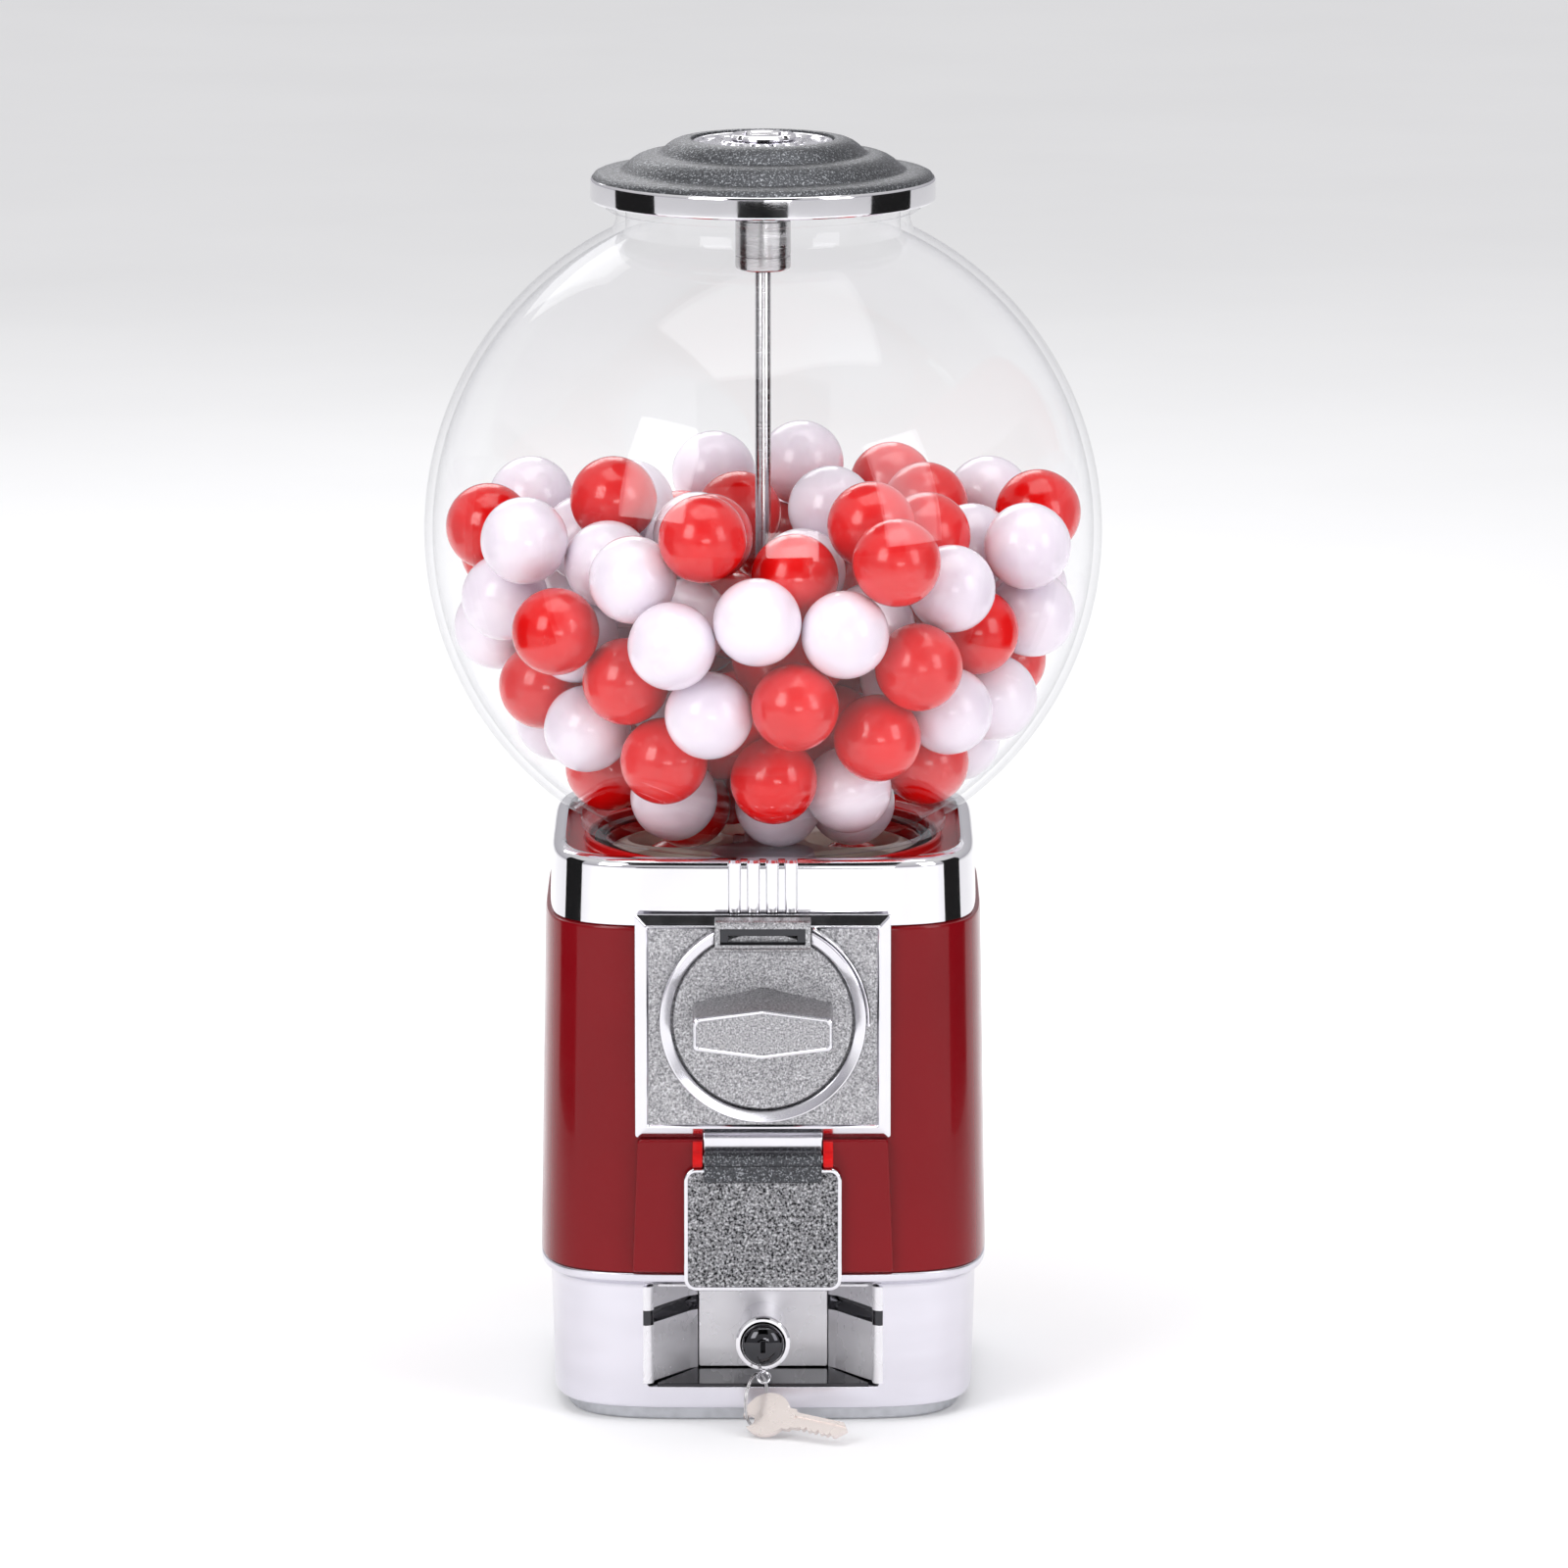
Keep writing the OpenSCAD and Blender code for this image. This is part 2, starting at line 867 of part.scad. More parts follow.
module ring_gear() {
  step = 360 / ring_teeth;
  color("ivory")
    union() {
      ring(gear_plate_z, gear_plate_z + 3.6, drum_r + 0.01, 62.8);
      for (i = [0:ring_teeth - 1])
        rotate(step * (i + 0.5) - 90)
          translate([gear_r - gear_face / 2, 0, gear_plate_z + 0.2])
            rotate([90, 0, 90])
              linear_extrude(gear_face)
                polygon([[-1.35, 0], [-0.5, -3.25], [0.5, -3.25], [1.35, 0]]);
    }
}

module agitator() {
  color("silver")
    difference() {
      union() {
        translate([0, 0, drum_top])
          cylinder(h = 9, r = 7);
        for (i = [0:2])
          rotate(30 + 120 * i)
            translate([0, -1.5, drum_top])
              cube([12, 3, 4]);
      }
      translate([0, 0, drum_top - 1])
        cylinder(h = 20, r = rod_r + fit);
    }
}

module wheel_balls() {
  color("red")
    for (i = [1:pocket_count - 1])
      rotate(-90 + 360 / pocket_count * i)
        translate([pocket_pcr, 0, drum_low + ball_r + 0.2])
          sphere(r = ball_r);
}

// ---- Chute and its door ----

// Side outline of the chute's passage, as [y, z], grown by g
function passage(g) = [
  [-20.5 + g, 155.6], [-20.5 + g, 96 - g * 0.3], [-79.5, 60 - g * 1.17],
  [-79.5, 100 + g * 1.17], [-55.5 - g, 116 + g * 0.9], [-55.5 - g, 155.6]
];

module chute() {
  color("dimgray")
    difference() {
      translate([-chute_half - chute_wall, 0, 0])
        rotate([90, 0, 90])
          linear_extrude(2 * (chute_half + chute_wall))
            polygon(passage(chute_wall));
      translate([-chute_half, 0, 0])
        rotate([90, 0, 90])
          linear_extrude(2 * chute_half)
            polygon(concat(
              [[-20.5, 160], [-20.5, 96], [-79.5, 60], [-82, 60]],
              [[-82, 100], [-79.5, 100], [-55.5, 116], [-55.5, 160]]
            ));
    }
}

module door_pin() {
  color("lightgray")
    x_rod(hinge_y, hinge_z, -ear_in - ear_t + 0.2, ear_in + ear_t - 0.2, hinge_pin_r);
}

module chute_door() {
  back = hinge_y + 2.2;
  corner = 4;
  strap_t = 1.4;
  strap_low = 92.6;
  color("gray")
    difference() {
      union() {
        translate([0, back, 0])
          rotate([90, 0, 0])
            linear_extrude(door_t)
              union() {
                for (sx = [-1, 1], z = [door_low + corner, door_top - corner])
                  translate([sx * (door_w / 2 - corner), z])
                    circle(r = corner);
                translate([-door_w / 2, door_low + corner])
                  square([door_w, door_top - door_low - 2 * corner]);
                translate([-door_w / 2 + corner, door_low])
                  square([door_w - 2 * corner, door_top - door_low]);
              }
        x_rod(hinge_y, hinge_z, -knuckle_half, knuckle_half, knuckle_r);
        span([-knuckle_half, back - door_t, door_top - 1], [knuckle_half, back - 0.4, hinge_z]);
        // Raised strap that runs down from the knuckle over the door's face
        span([-knuckle_half, back - door_t - strap_t, strap_low],
             [knuckle_half, back - door_t + 1, hinge_z]);
      }
      x_rod(hinge_y, hinge_z, -40, 40, hinge_pin_r + fit);
    }
}

// ---- Lid ----

// Half section of the lid, as [radius, height]: rim, two rounded steps and the medallion's seat
function lid_section() =
  let (bore = shank_r + fit, seat_r = medallion_r + 0.1, recess_z = 450.5)
    [
      [bore, lid_z], [boss_r, lid_z], [boss_r, recess_z], [46, recess_z], [46, lid_z],
      [rim_r - 3, lid_z], [rim_r - 3, rim_low], [rim_r, rim_low], [rim_r, rim_top],
      [61, 451.2], [55, 452.8], [52.2, 452.8], [48.2, 456.4], [42, 458.8], [38.4, 458.8],
      [34, 462.4], [29, 464.5], [seat_r, 464.5], [seat_r, medallion_z], [bore, medallion_z]
    ];

module lid() {
  color("gray")
    rotate_extrude()
      polygon(lid_section());
}

module lid_barrel() {
  color("lightgray")
    difference() {
      union() {
        translate([0, 0, barrel_low])
          cylinder(h = lid_z - barrel_low, r = barrel_r);
        translate([0, 0, lid_z - 3.4])
          cylinder(h = 3.4, r = 11.6);
      }
      translate([0, 0, barrel_low - 1])
        cylinder(h = 40, r = rod_r + fit);
      // Two turned grooves
      ring(lid_z - 9.4, lid_z - 8, barrel_r - 0.8, barrel_r + 2);
      ring(barrel_low + 5, barrel_low + 5.8, barrel_r - 0.4, barrel_r + 2);
    }
}

module lid_medallion() {
  color("silver")
    difference() {
      translate([0, 0, medallion_z])
        cylinder(h = medallion_top - medallion_z, r = medallion_r);
      translate([0, 0, medallion_z - 1])
        cylinder(h = 9, r = shank_r + fit);
      ring(medallion_top - 0.8, medallion_top + 2, 14.5, 22);
    }
}

module lid_knob() {
  color("silver")
    difference() {
      union() {
        translate([0, 0, medallion_top + 0.1])
          cylinder(h = knob_t, r = knob_r);
        translate([0, 0, lid_z + 0.2])
          cylinder(h = medallion_top - lid_z, r = shank_r);
      }
      translate([0, 0, lid_z - 1])
        cylinder(h = rod_top - lid_z + 1.6, r = rod_r + fit);
      // Finger notches round the knob
      for (i = [0:3])
        rotate(45 + 90 * i)
          translate([knob_r + 1, 0, medallion_top])
            cylinder(h = 10, r = 2.4);
    }
}

// ---- Drawer, lock, key ring and key ----

module drawer_front() {
  color([0.75, 0.74, 0.79])
    difference() {
      span([-drawer_w / 2, recess_y, recess_floor + 0.4],
           [drawer_w / 2, recess_y + 2, recess_top - 0.4]);
      y_rod(0, lock_z, recess_y - 1, recess_y + 3, lock_r);
    }
}

module drawer_tray() {
  half = drawer_w / 2 - 1.4;
  front = recess_y + 2;
  color("dimgray")
    difference() {
      span([-half, front, 15.3], [half, 28, 45]);
      span([-half + 1.5, front + 1.5, 16.8], [half - 1.5, 26.5, 46]);
      y_rod(0, lock_z, front - 1, front + 3, lock_r);
    }
}

module lock_body() {
  eye_ring_r = 2.2;
  eye_wire = 0.6;
  color("silver")
    difference() {
      union() {
        y_rod(0, lock_z, collar_y + 1, -40, lock_r);
        y_rod(0, lock_z, collar_y, collar_y + 4, collar_r);
        // Eye that the key ring hangs from, on a short stem
        translate(eye_pos)
          rotate([slope, 0, 0])
            rotate_extrude()
              translate([eye_ring_r, 0])
                circle(r = eye_wire, $fn = 24);
        translate([eye_pos[0], eye_pos[1] + 1.6, eye_pos[2] + 1.5])
          cylinder(h = 3.5, r = 0.7);
      }
      y_rod(0, lock_z, collar_y - 1, -39, plug_r + fit);
    }
}

module lock_nut() {
  color("silver")
    difference() {
      y_rod(0, lock_z, -49.5, -46.5, 11.5, 6);
      y_rod(0, lock_z, -50, -46, lock_r);
    }
}

module lock_plug() {
  // The domed face, as two cones in front of a short disc
  face_y = collar_y - 1.4;
  color("lightgray")
    difference() {
      union() {
        y_rod(0, lock_z, collar_y - 1, -38.6, plug_r);
        y_rod(0, lock_z, face_y, collar_y - 0.2, dome_r);
        translate([0, face_y + eps, lock_z])
          rotate([90, 0, 0])
            cylinder(h = 1.9, r1 = dome_r, r2 = 5.9);
        translate([0, face_y - 1.9 + 2 * eps, lock_z])
          rotate([90, 0, 0])
            cylinder(h = 1.5, r1 = 5.9, r2 = 2.6);
      }
      // Keyway
      span([-0.9, collar_y - 10, lock_z - 2.2], [0.9, collar_y + 6, lock_z + 2.2]);
    }
}

module lock_cam() {
  color("gray")
    difference() {
      union() {
        y_rod(0, lock_z, -38.6, -37, 7);
        span([0, -38.6, lock_z - 4.5], [18.4, -37, lock_z + 4.5]);
      }
      y_rod(0, lock_z, -40, -36, 1.8);
    }
}

module cam_screw() {
  color("silver")
    union() {
      y_rod(0, lock_z, -37, -34.8, 3.6);
      y_rod(0, lock_z, -38.6, -36, 1.78);
    }
}

module key_ring() {
  color("lightgray")
    translate(ring_centre)
      rotate([0, 0, -ring_yaw])
        rotate([0, 90, 0])
          rotate_extrude()
            translate([ring_r, 0])
              circle(r = wire_r, $fn = 24);
}

// A flat key: round bow with an off-centre hole, and a blade with cuts along one edge
module key() {
  bow = [6.4, 3.6];
  cuts = [0, 0.9, 0.3, 1.1, 0.5, 0];
  color([0.88, 0.82, 0.8])
    translate(key_hole)
      rotate([slope, 0, -ring_yaw])
        translate([0, 0, -key_t / 2])
          difference() {
            union() {
              translate([bow[0], bow[1], 0])
                cylinder(h = key_t, r = bow_r);
              translate([bow[0], bow[1], 0])
                rotate(-6)
                  linear_extrude(key_t)
                    polygon(concat(
                      [[6, -4.4], [11, -4.4], [12, -3.2]],
                      [for (i = [0:len(cuts) - 1]) [14 + 3 * i, -3.2 + cuts[i]]],
                      [[33, 0.4], [31, 3.2], [12, 3.2], [11, 4.4], [6, 4.4]]
                    ));
            }
            translate([0, 0, -1])
              cylinder(h = key_t + 2, r = 2.5);
            // Milled groove along the blade
            translate([bow[0], bow[1], 0])
              rotate(-6)
                translate([11, 0.6, key_t - 0.5])
                  cube([19, 1.2, 1]);
          }
}

base_plate();
base_casting();
recess_surround();
drawer_guide();
floor_plate();
body_shell();
base_screws();
top_band();
hopper_plate();
wheel_floor();
floor_screws();
brush_housing();
wiper_brush();
globe();
globe_seat_gasket();
globe_top_gasket();
centre_rod();
rod_nut();
rod_washer();
coin_plate();
coin_bezel();
coin_hood();
mech_housing();
mech_screws();
chute();
door_pin();
balls_red();
balls_white();
handle_knob();
drive_shaft();
coin_wheel();
ratchet_wheel();
drive_pinion();
shaft_clip();
dispensing_wheel();
ring_gear();
agitator();
wheel_balls();
pawl();
pawl_spring();
chute_door();
lid();
lid_barrel();
lid_medallion();
lid_knob();
drawer_front();
drawer_tray();
lock_body();
lock_nut();
lock_plug();
lock_cam();
cam_screw();
key_ring();
key();
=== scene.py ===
import json
import math
import random

import bmesh
import bpy
from mathutils import Matrix, Vector


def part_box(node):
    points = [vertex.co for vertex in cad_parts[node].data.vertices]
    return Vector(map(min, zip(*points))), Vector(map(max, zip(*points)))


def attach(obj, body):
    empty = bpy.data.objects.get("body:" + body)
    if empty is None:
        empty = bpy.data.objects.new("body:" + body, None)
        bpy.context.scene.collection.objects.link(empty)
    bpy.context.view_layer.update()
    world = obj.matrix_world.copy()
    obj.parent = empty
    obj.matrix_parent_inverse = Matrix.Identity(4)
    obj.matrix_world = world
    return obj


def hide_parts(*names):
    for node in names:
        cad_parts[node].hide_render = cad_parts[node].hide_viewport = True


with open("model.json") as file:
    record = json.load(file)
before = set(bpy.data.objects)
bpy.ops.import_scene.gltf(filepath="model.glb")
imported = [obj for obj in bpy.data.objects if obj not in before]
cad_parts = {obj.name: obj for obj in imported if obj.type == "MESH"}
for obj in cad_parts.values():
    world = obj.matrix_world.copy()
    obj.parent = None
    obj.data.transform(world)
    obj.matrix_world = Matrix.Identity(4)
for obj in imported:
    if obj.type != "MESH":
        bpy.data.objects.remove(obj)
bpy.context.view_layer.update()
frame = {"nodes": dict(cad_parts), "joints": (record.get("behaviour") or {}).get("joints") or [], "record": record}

# Sizes below are in millimetres, and become metres where a mesh is made.
MM = 0.001
# Every wall of the cabinet follows one rounded square: a superellipse of this power.
PLAN_POWER = 5
PLAN_STEPS = 208
SHARP_ANGLE = math.radians(32)
# Heights and depths that several pieces share.
SHAFT_Z = 152.6
BODY_TOP = 185.5
PLATE_LOW = 108.2
GLOBE_Z = 319.0
# The blade is not quite square to the line from the key's hole to its bow.
KEY_TILT = math.radians(-6)

scene = bpy.context.scene


def corners(node):
    """Lowest and highest corner of a CAD node, in millimetres."""
    low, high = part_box(node)
    return low / MM, high / MM


# ---------------------------------------------------------------- materials


class Graph:
    """A node material built step by step round one Principled shader."""

    def __init__(self, name, **sockets):
        self.material = bpy.data.materials.new(name)
        self.material.use_nodes = True
        self.tree = self.material.node_tree
        self.shader = self.tree.nodes["Principled BSDF"]
        for socket, value in sockets.items():
            self.shader.inputs[socket.replace("_", " ")].default_value = value
        self.coords = self.tree.nodes.new("ShaderNodeTexCoord").outputs["Object"]

    def node(self, kind, **values):
        made = self.tree.nodes.new(kind)
        for key, value in values.items():
            setattr(made, key, value)
        return made

    def link(self, source, target):
        self.tree.links.new(source, target)

    def stretched(self, scale):
        """The object coordinates, scaled differently along each axis."""
        mapping = self.node("ShaderNodeMapping")
        mapping.inputs["Scale"].default_value = scale
        self.link(self.coords, mapping.inputs["Vector"])
        return mapping.outputs["Vector"]

    def noise(self, scale, detail=3.0, roughness=0.55, vector=None):
        made = self.node("ShaderNodeTexNoise")
        made.inputs["Scale"].default_value = scale
        made.inputs["Detail"].default_value = detail
        made.inputs["Roughness"].default_value = roughness
        self.link(vector or self.coords, made.inputs["Vector"])
        return made.outputs["Fac"]

    def cells(self, scale):
        made = self.node("ShaderNodeTexVoronoi")
        made.inputs["Scale"].default_value = scale
        self.link(self.coords, made.inputs["Vector"])
        return made

    def ramp(self, source, stops):
        made = self.node("ShaderNodeValToRGB")
        elements = made.color_ramp.elements
        while len(elements) < len(stops):
            elements.new(0.5)
        for element, (place, colour) in zip(elements, stops):
            element.position = place
            element.color = (*colour, 1.0)
        self.link(source, made.inputs["Fac"])
        return made.outputs["Color"]

    def remap(self, source, low, high):
        """A 0 to 1 value spread between low and high."""
        made = self.node("ShaderNodeMapRange")
        made.inputs["From Min"].default_value = 0.3
        made.inputs["From Max"].default_value = 0.7
        made.inputs["To Min"].default_value = low
        made.inputs["To Max"].default_value = high
        self.link(source, made.inputs["Value"])
        return made.outputs["Result"]

    def colour(self, source):
        self.link(source, self.shader.inputs["Base Color"])

    def roughness(self, source):
        self.link(source, self.shader.inputs["Roughness"])

    def bump(self, height, strength, distance):
        made = self.node("ShaderNodeBump")
        made.inputs["Strength"].default_value = strength
        made.inputs["Distance"].default_value = distance
        self.link(height, made.inputs["Height"])
        previous = self.shader.inputs["Normal"]
        if previous.is_linked:
            self.link(previous.links[0].from_socket, made.inputs["Normal"])
        self.link(made.outputs["Normal"], previous)


def paint(name, dark, light, roughness=0.13, coat=0.16, gloss=0.15):
    """Glossy enamel: a faint cloudiness, orange peel, and small changes of gloss."""
    g = Graph(name, Coat_Weight=coat, Coat_Roughness=0.03, IOR=1.5, Specular_IOR_Level=gloss)
    g.colour(g.ramp(g.noise(9, 4), [(0.3, dark), (0.7, light)]))
    g.roughness(g.remap(g.noise(60, 5), roughness, roughness + 0.08))
    g.bump(g.noise(420, 2), 0.035, 0.0004)
    return g.material


def chrome(name, tint=(0.83, 0.82, 0.85), roughness=0.035):
    """Polished plating with faint smudges and a barely uneven surface."""
    g = Graph(name, Metallic=1.0)
    g.colour(g.ramp(g.noise(30, 3), [(0.25, [c * 0.94 for c in tint]), (0.75, tint)]))
    g.roughness(g.remap(g.noise(85, 6, 0.65), roughness, roughness + 0.06))
    g.bump(g.noise(24, 1), 0.02, 0.001)
    return g.material


def satin_metal(name, tint, roughness=0.34, metallic=0.94):
    """Silver lacquer over metal: soft streaks, small changes of gloss and a barely wavy surface."""
    g = Graph(name, Metallic=metallic, Coat_Weight=0.2, Coat_Roughness=0.12)
    streaks = g.noise(14, 4, 0.6, g.stretched((1, 1, 6)))
    g.colour(g.ramp(streaks, [(0.3, [c * 0.93 for c in tint]), (0.7, tint)]))
    g.roughness(g.remap(g.noise(60, 3), roughness, roughness + 0.07))
    g.bump(g.noise(30, 2), 0.03, 0.0006)
    return g.material


def granular(name, dark, middle, light, grain, depth, roughness=0.36):
    """Cast texture: rounded grains and speckled tone, with painted shade in the pits and a painted highlight on
    the grain tops.
    """
    g = Graph(name, Metallic=0.88)
    grains = g.cells(grain)
    relief_with_painted_shade = g.noise(grain * 0.9, 2, 0.7)
    # Speckled tone that follows the relief: darker as painted shade in the pits, lighter as painted highlight on
    # the tops.
    g.colour(g.ramp(relief_with_painted_shade, [(0.4, dark), (0.47, middle), (0.56, middle), (0.64, light)]))
    g.roughness(g.remap(g.noise(grain * 1.7, 3), roughness - 0.1, roughness + 0.16))
    g.bump(relief_with_painted_shade, 0.55, depth)
    g.bump(grains.outputs["Distance"], 0.5, depth)
    return g.material


def turned_steel(name, tint=(0.56, 0.55, 0.56), roughness=0.16):
    """Steel with fine rings left by the lathe."""
    g = Graph(name, Metallic=1.0)
    rings = g.noise(160, 4, 0.7, g.stretched((0.6, 0.6, 14)))
    g.colour(g.ramp(rings, [(0.3, [c * 0.85 for c in tint]), (0.7, [c * 1.12 for c in tint])]))
    g.roughness(g.remap(rings, roughness, roughness + 0.14))
    g.bump(rings, 0.05, 0.0002)
    return g.material


def plated_sheet(name, tint, roughness=0.3):
    """Zinc plated sheet and small hardware, with spangle and handling marks."""
    g = Graph(name, Metallic=0.95)
    spangle = g.cells(260)
    g.colour(g.ramp(spangle.outputs["Distance"],
                    [(0.0, [c * 0.85 for c in tint]), (0.7, tint)]))
    g.roughness(g.remap(g.noise(130, 5), roughness, roughness + 0.18))
    g.bump(g.noise(500, 3), 0.08, 0.0002)
    return g.material


def moulded(name, dark, light, roughness=0.42):
    """Matte moulded plastic or coated casting with a fine spark-eroded texture."""
    g = Graph(name, IOR=1.48)
    g.colour(g.ramp(g.noise(45, 4), [(0.3, dark), (0.7, light)]))
    g.roughness(g.remap(g.noise(220, 4), roughness, roughness + 0.16))
    g.bump(g.noise(1500, 3), 0.12, 0.0002)
    return g.material


def gumball(name, dark, light, glow):
    """Hard sugar shell: glossy, slightly translucent, with soft mottling and tiny dimples."""
    g = Graph(name, Subsurface_Weight=0.15, Subsurface_Scale=0.005, Coat_Weight=0.3,
              Coat_Roughness=0.06, IOR=1.46)
    g.shader.inputs["Subsurface Radius"].default_value = glow
    g.colour(g.ramp(g.noise(38, 3), [(0.3, dark), (0.7, light)]))
    g.roughness(g.remap(g.noise(150, 4), 0.14, 0.28))
    g.bump(g.noise(240, 3), 0.05, 0.0006)
    return g.material


def clear_plastic(name):
    """Clear moulded globe: what is not mirrored at its surface passes straight through."""
    g = Graph(name, Metallic=1.0, Roughness=0.02)
    edge = g.node("ShaderNodeLayerWeight")
    edge.inputs["Blend"].default_value = 0.5
    g.colour(g.ramp(edge.outputs["Facing"], [(0.72, (0.97, 0.97, 1.0)), (0.93, (0.3, 0.3, 0.33))]))
    steep = g.node("ShaderNodeMath", operation="POWER")
    steep.inputs[1].default_value = 7.0
    g.link(edge.outputs["Facing"], steep.inputs[0])
    spread = g.node("ShaderNodeMapRange")
    spread.inputs["To Min"].default_value = 0.022
    spread.inputs["To Max"].default_value = 0.7
    g.link(steep.outputs["Value"], spread.inputs["Value"])
    g.link(spread.outputs["Result"], g.shader.inputs["Alpha"])
    g.roughness(g.remap(g.noise(40, 5), 0.012, 0.045))
    g.bump(g.noise(7, 2), 0.05, 0.004)
    g.material.surface_render_method = "BLENDED"
    return g.material


MATERIALS = {
    "red_paint": paint("red_enamel", (0.165, 0.002, 0.005), (0.205, 0.003, 0.007)),
    "hopper_red": paint("red_hopper", (0.52, 0.012, 0.012), (0.6, 0.008, 0.01), 0.12, 0.05, 0.05),
    "chrome": chrome("polished_chrome"),
    "base_metal": satin_metal("satin_silver", (0.74, 0.725, 0.79), 0.2),
    "recess_silver": satin_metal("recess_silver", (0.78, 0.77, 0.8), 0.24, 0.4),
    # This black chrome paints shade into the recess floor and the coin slot, and paints dark reflections on the
    # recess cheeks and the lock dome.
    "black_chrome": chrome("black_chrome", (0.06, 0.06, 0.065), 0.04),
    "granular_fine": granular("granular_fine", (0.2, 0.2, 0.21), (0.4, 0.395, 0.41),
                              (0.66, 0.66, 0.68), 1500, 0.00016),
    "granular_coarse": granular("granular_coarse", (0.012, 0.012, 0.014), (0.22, 0.22, 0.23),
                                (0.55, 0.55, 0.57), 1150, 0.00026),
    "granular_dark": granular("granular_dark", (0.05, 0.05, 0.055), (0.07, 0.073, 0.08),
                              (0.3, 0.31, 0.33), 1400, 0.00022),
    "polished_edge": chrome("polished_edge", (0.8, 0.79, 0.83), 0.12),
    "steel": turned_steel("turned_steel"),
    "zinc_sheet": plated_sheet("zinc_sheet", (0.52, 0.53, 0.56)),
    "inner_metal": moulded("inner_casting", (0.03, 0.03, 0.033), (0.05, 0.05, 0.054)),
    "gasket_rubber": moulded("gasket_rubber", (0.012, 0.012, 0.013), (0.02, 0.02, 0.021), 0.6),
    "wheel_plastic": moulded("wheel_plastic", (0.66, 0.62, 0.52), (0.74, 0.7, 0.6), 0.34),
    "gum_red": gumball("gumball_red", (0.6, 0.001, 0.001), (0.74, 0.004, 0.004), (1.0, 0.12, 0.08)),
    "gum_white": gumball("gumball_white", (0.74, 0.66, 0.75), (0.86, 0.8, 0.87), (0.9, 0.7, 0.9)),
    "bristle": moulded("bristle", (0.35, 0.26, 0.14), (0.5, 0.4, 0.24), 0.7),
    "brass": turned_steel("turned_brass", (0.62, 0.44, 0.17), 0.2),
    "key_nickel": satin_metal("key_nickel", (0.84, 0.76, 0.73), 0.24),
    "clear_globe": clear_plastic("clear_globe"),
}
MATERIALS["granular_metal"] = MATERIALS["granular_fine"]


# ---------------------------------------------------------------- mesh tools


def new_object(name, verts, faces, materials, face_slots=None):
    """A mesh object from points in millimetres, with outward normals and smooth shading."""
    mesh = bpy.data.meshes.new(name)
    mesh.from_pydata([Vector(v) * MM for v in verts], [], faces)
    for m in materials:
        mesh.materials.append(MATERIALS[m])
    if face_slots:
        mesh.polygons.foreach_set("material_index", face_slots)
    clean = bmesh.new()
    clean.from_mesh(mesh)
    bmesh.ops.remove_doubles(clean, verts=clean.verts, dist=1e-6)
    bmesh.ops.recalc_face_normals(clean, faces=clean.faces)
    clean.to_mesh(mesh)
    clean.free()
    obj = bpy.data.objects.new(name, mesh)
    scene.collection.objects.link(obj)
    smooth(obj)
    return obj


def smooth(obj, angle=SHARP_ANGLE):
    obj.data.polygons.foreach_set("use_smooth", [True] * len(obj.data.polygons))
    obj.data.set_sharp_from_angle(angle=angle)


def bake_modifiers(obj):
    """Replaces an object's mesh by what its modifiers make of it."""
    graph = bpy.context.evaluated_depsgraph_get()
    made = bpy.data.meshes.new_from_object(obj.evaluated_get(graph))
    obj.modifiers.clear()
    obj.data = made
    smooth(obj)


def carve(obj, cutter, operation="DIFFERENCE"):
    """Boolean of obj with cutter, which is used up."""
    modifier = obj.modifiers.new("carve", "BOOLEAN")
    modifier.object = cutter
    modifier.operation = operation
    modifier.solver = "EXACT"
    modifier.material_mode = "TRANSFER"
    bake_modifiers(obj)
    bpy.data.objects.remove(cutter)


def bevel(obj, width, segments=3, angle=35):
    modifier = obj.modifiers.new("soft_edges", "BEVEL")
    modifier.width = width * MM
    modifier.segments = segments
    modifier.limit_method = "ANGLE"
    modifier.angle_limit = math.radians(angle)
    bake_modifiers(obj)


def stack(loops, closed=False):
    """Faces that join loops of the same length, with capped ends unless closed."""
    count = len(loops[0])
    verts = [v for loop in loops for v in loop]
    faces = []
    rows = len(loops) if closed else len(loops) - 1
    for row in range(rows):
        a = row * count
        b = (row + 1) % len(loops) * count
        faces += [(a + i, a + (i + 1) % count, b + (i + 1) % count, b + i) for i in range(count)]
    if not closed:
        faces.append(tuple(reversed(range(count))))
        last = (len(loops) - 1) * count
        faces.append(tuple(range(last, last + count)))
    return verts, faces


def unit_plan():
    """The rounded square plan of half width 1, as evenly spaced points."""
    fine = 4000
    dense = []
    for i in range(fine + 1):
        a = 2 * math.pi * i / fine
        dense.append(Vector((
            math.copysign(abs(math.cos(a)) ** (2 / PLAN_POWER), math.cos(a)),
            math.copysign(abs(math.sin(a)) ** (2 / PLAN_POWER), math.sin(a)),
        )))
    lengths = [0.0]
    for a, b in zip(dense, dense[1:]):
        lengths.append(lengths[-1] + (b - a).length)
    points, k = [], 0
    for i in range(PLAN_STEPS):
        goal = lengths[-1] * i / PLAN_STEPS
        while lengths[k + 1] < goal:
            k += 1
        share = (goal - lengths[k]) / max(1e-9, lengths[k + 1] - lengths[k])
        points.append(dense[k].lerp(dense[k + 1], share))
    return points


UNIT_PLAN = unit_plan()


def plan_loop(half, z):
    return [(p.x * half, p.y * half, z) for p in UNIT_PLAN]


def plan_shell(name, sections, materials):
    """A closed wall on the cabinet's plan: sections of (half width, height), round and back."""
    return new_object(name, *stack([plan_loop(h, z) for h, z in sections], closed=True), materials)


def block(name, low, high, materials):
    """A rectangular body between two corners, to be rounded or used as a cutter."""
    (x0, y0, z0), (x1, y1, z1) = low, high
    outline = [(x0, z0), (x1, z0), (x1, z1), (x0, z1)]
    return slab(name, outline, y0, y1, materials)


def slab(name, outline, y0, y1, materials):
    """An outline in X and Z, extruded from y0 to y1."""
    loops = [[(x, y, z) for x, z in outline] for y in (y0, y1)]
    return new_object(name, *stack(loops), materials)


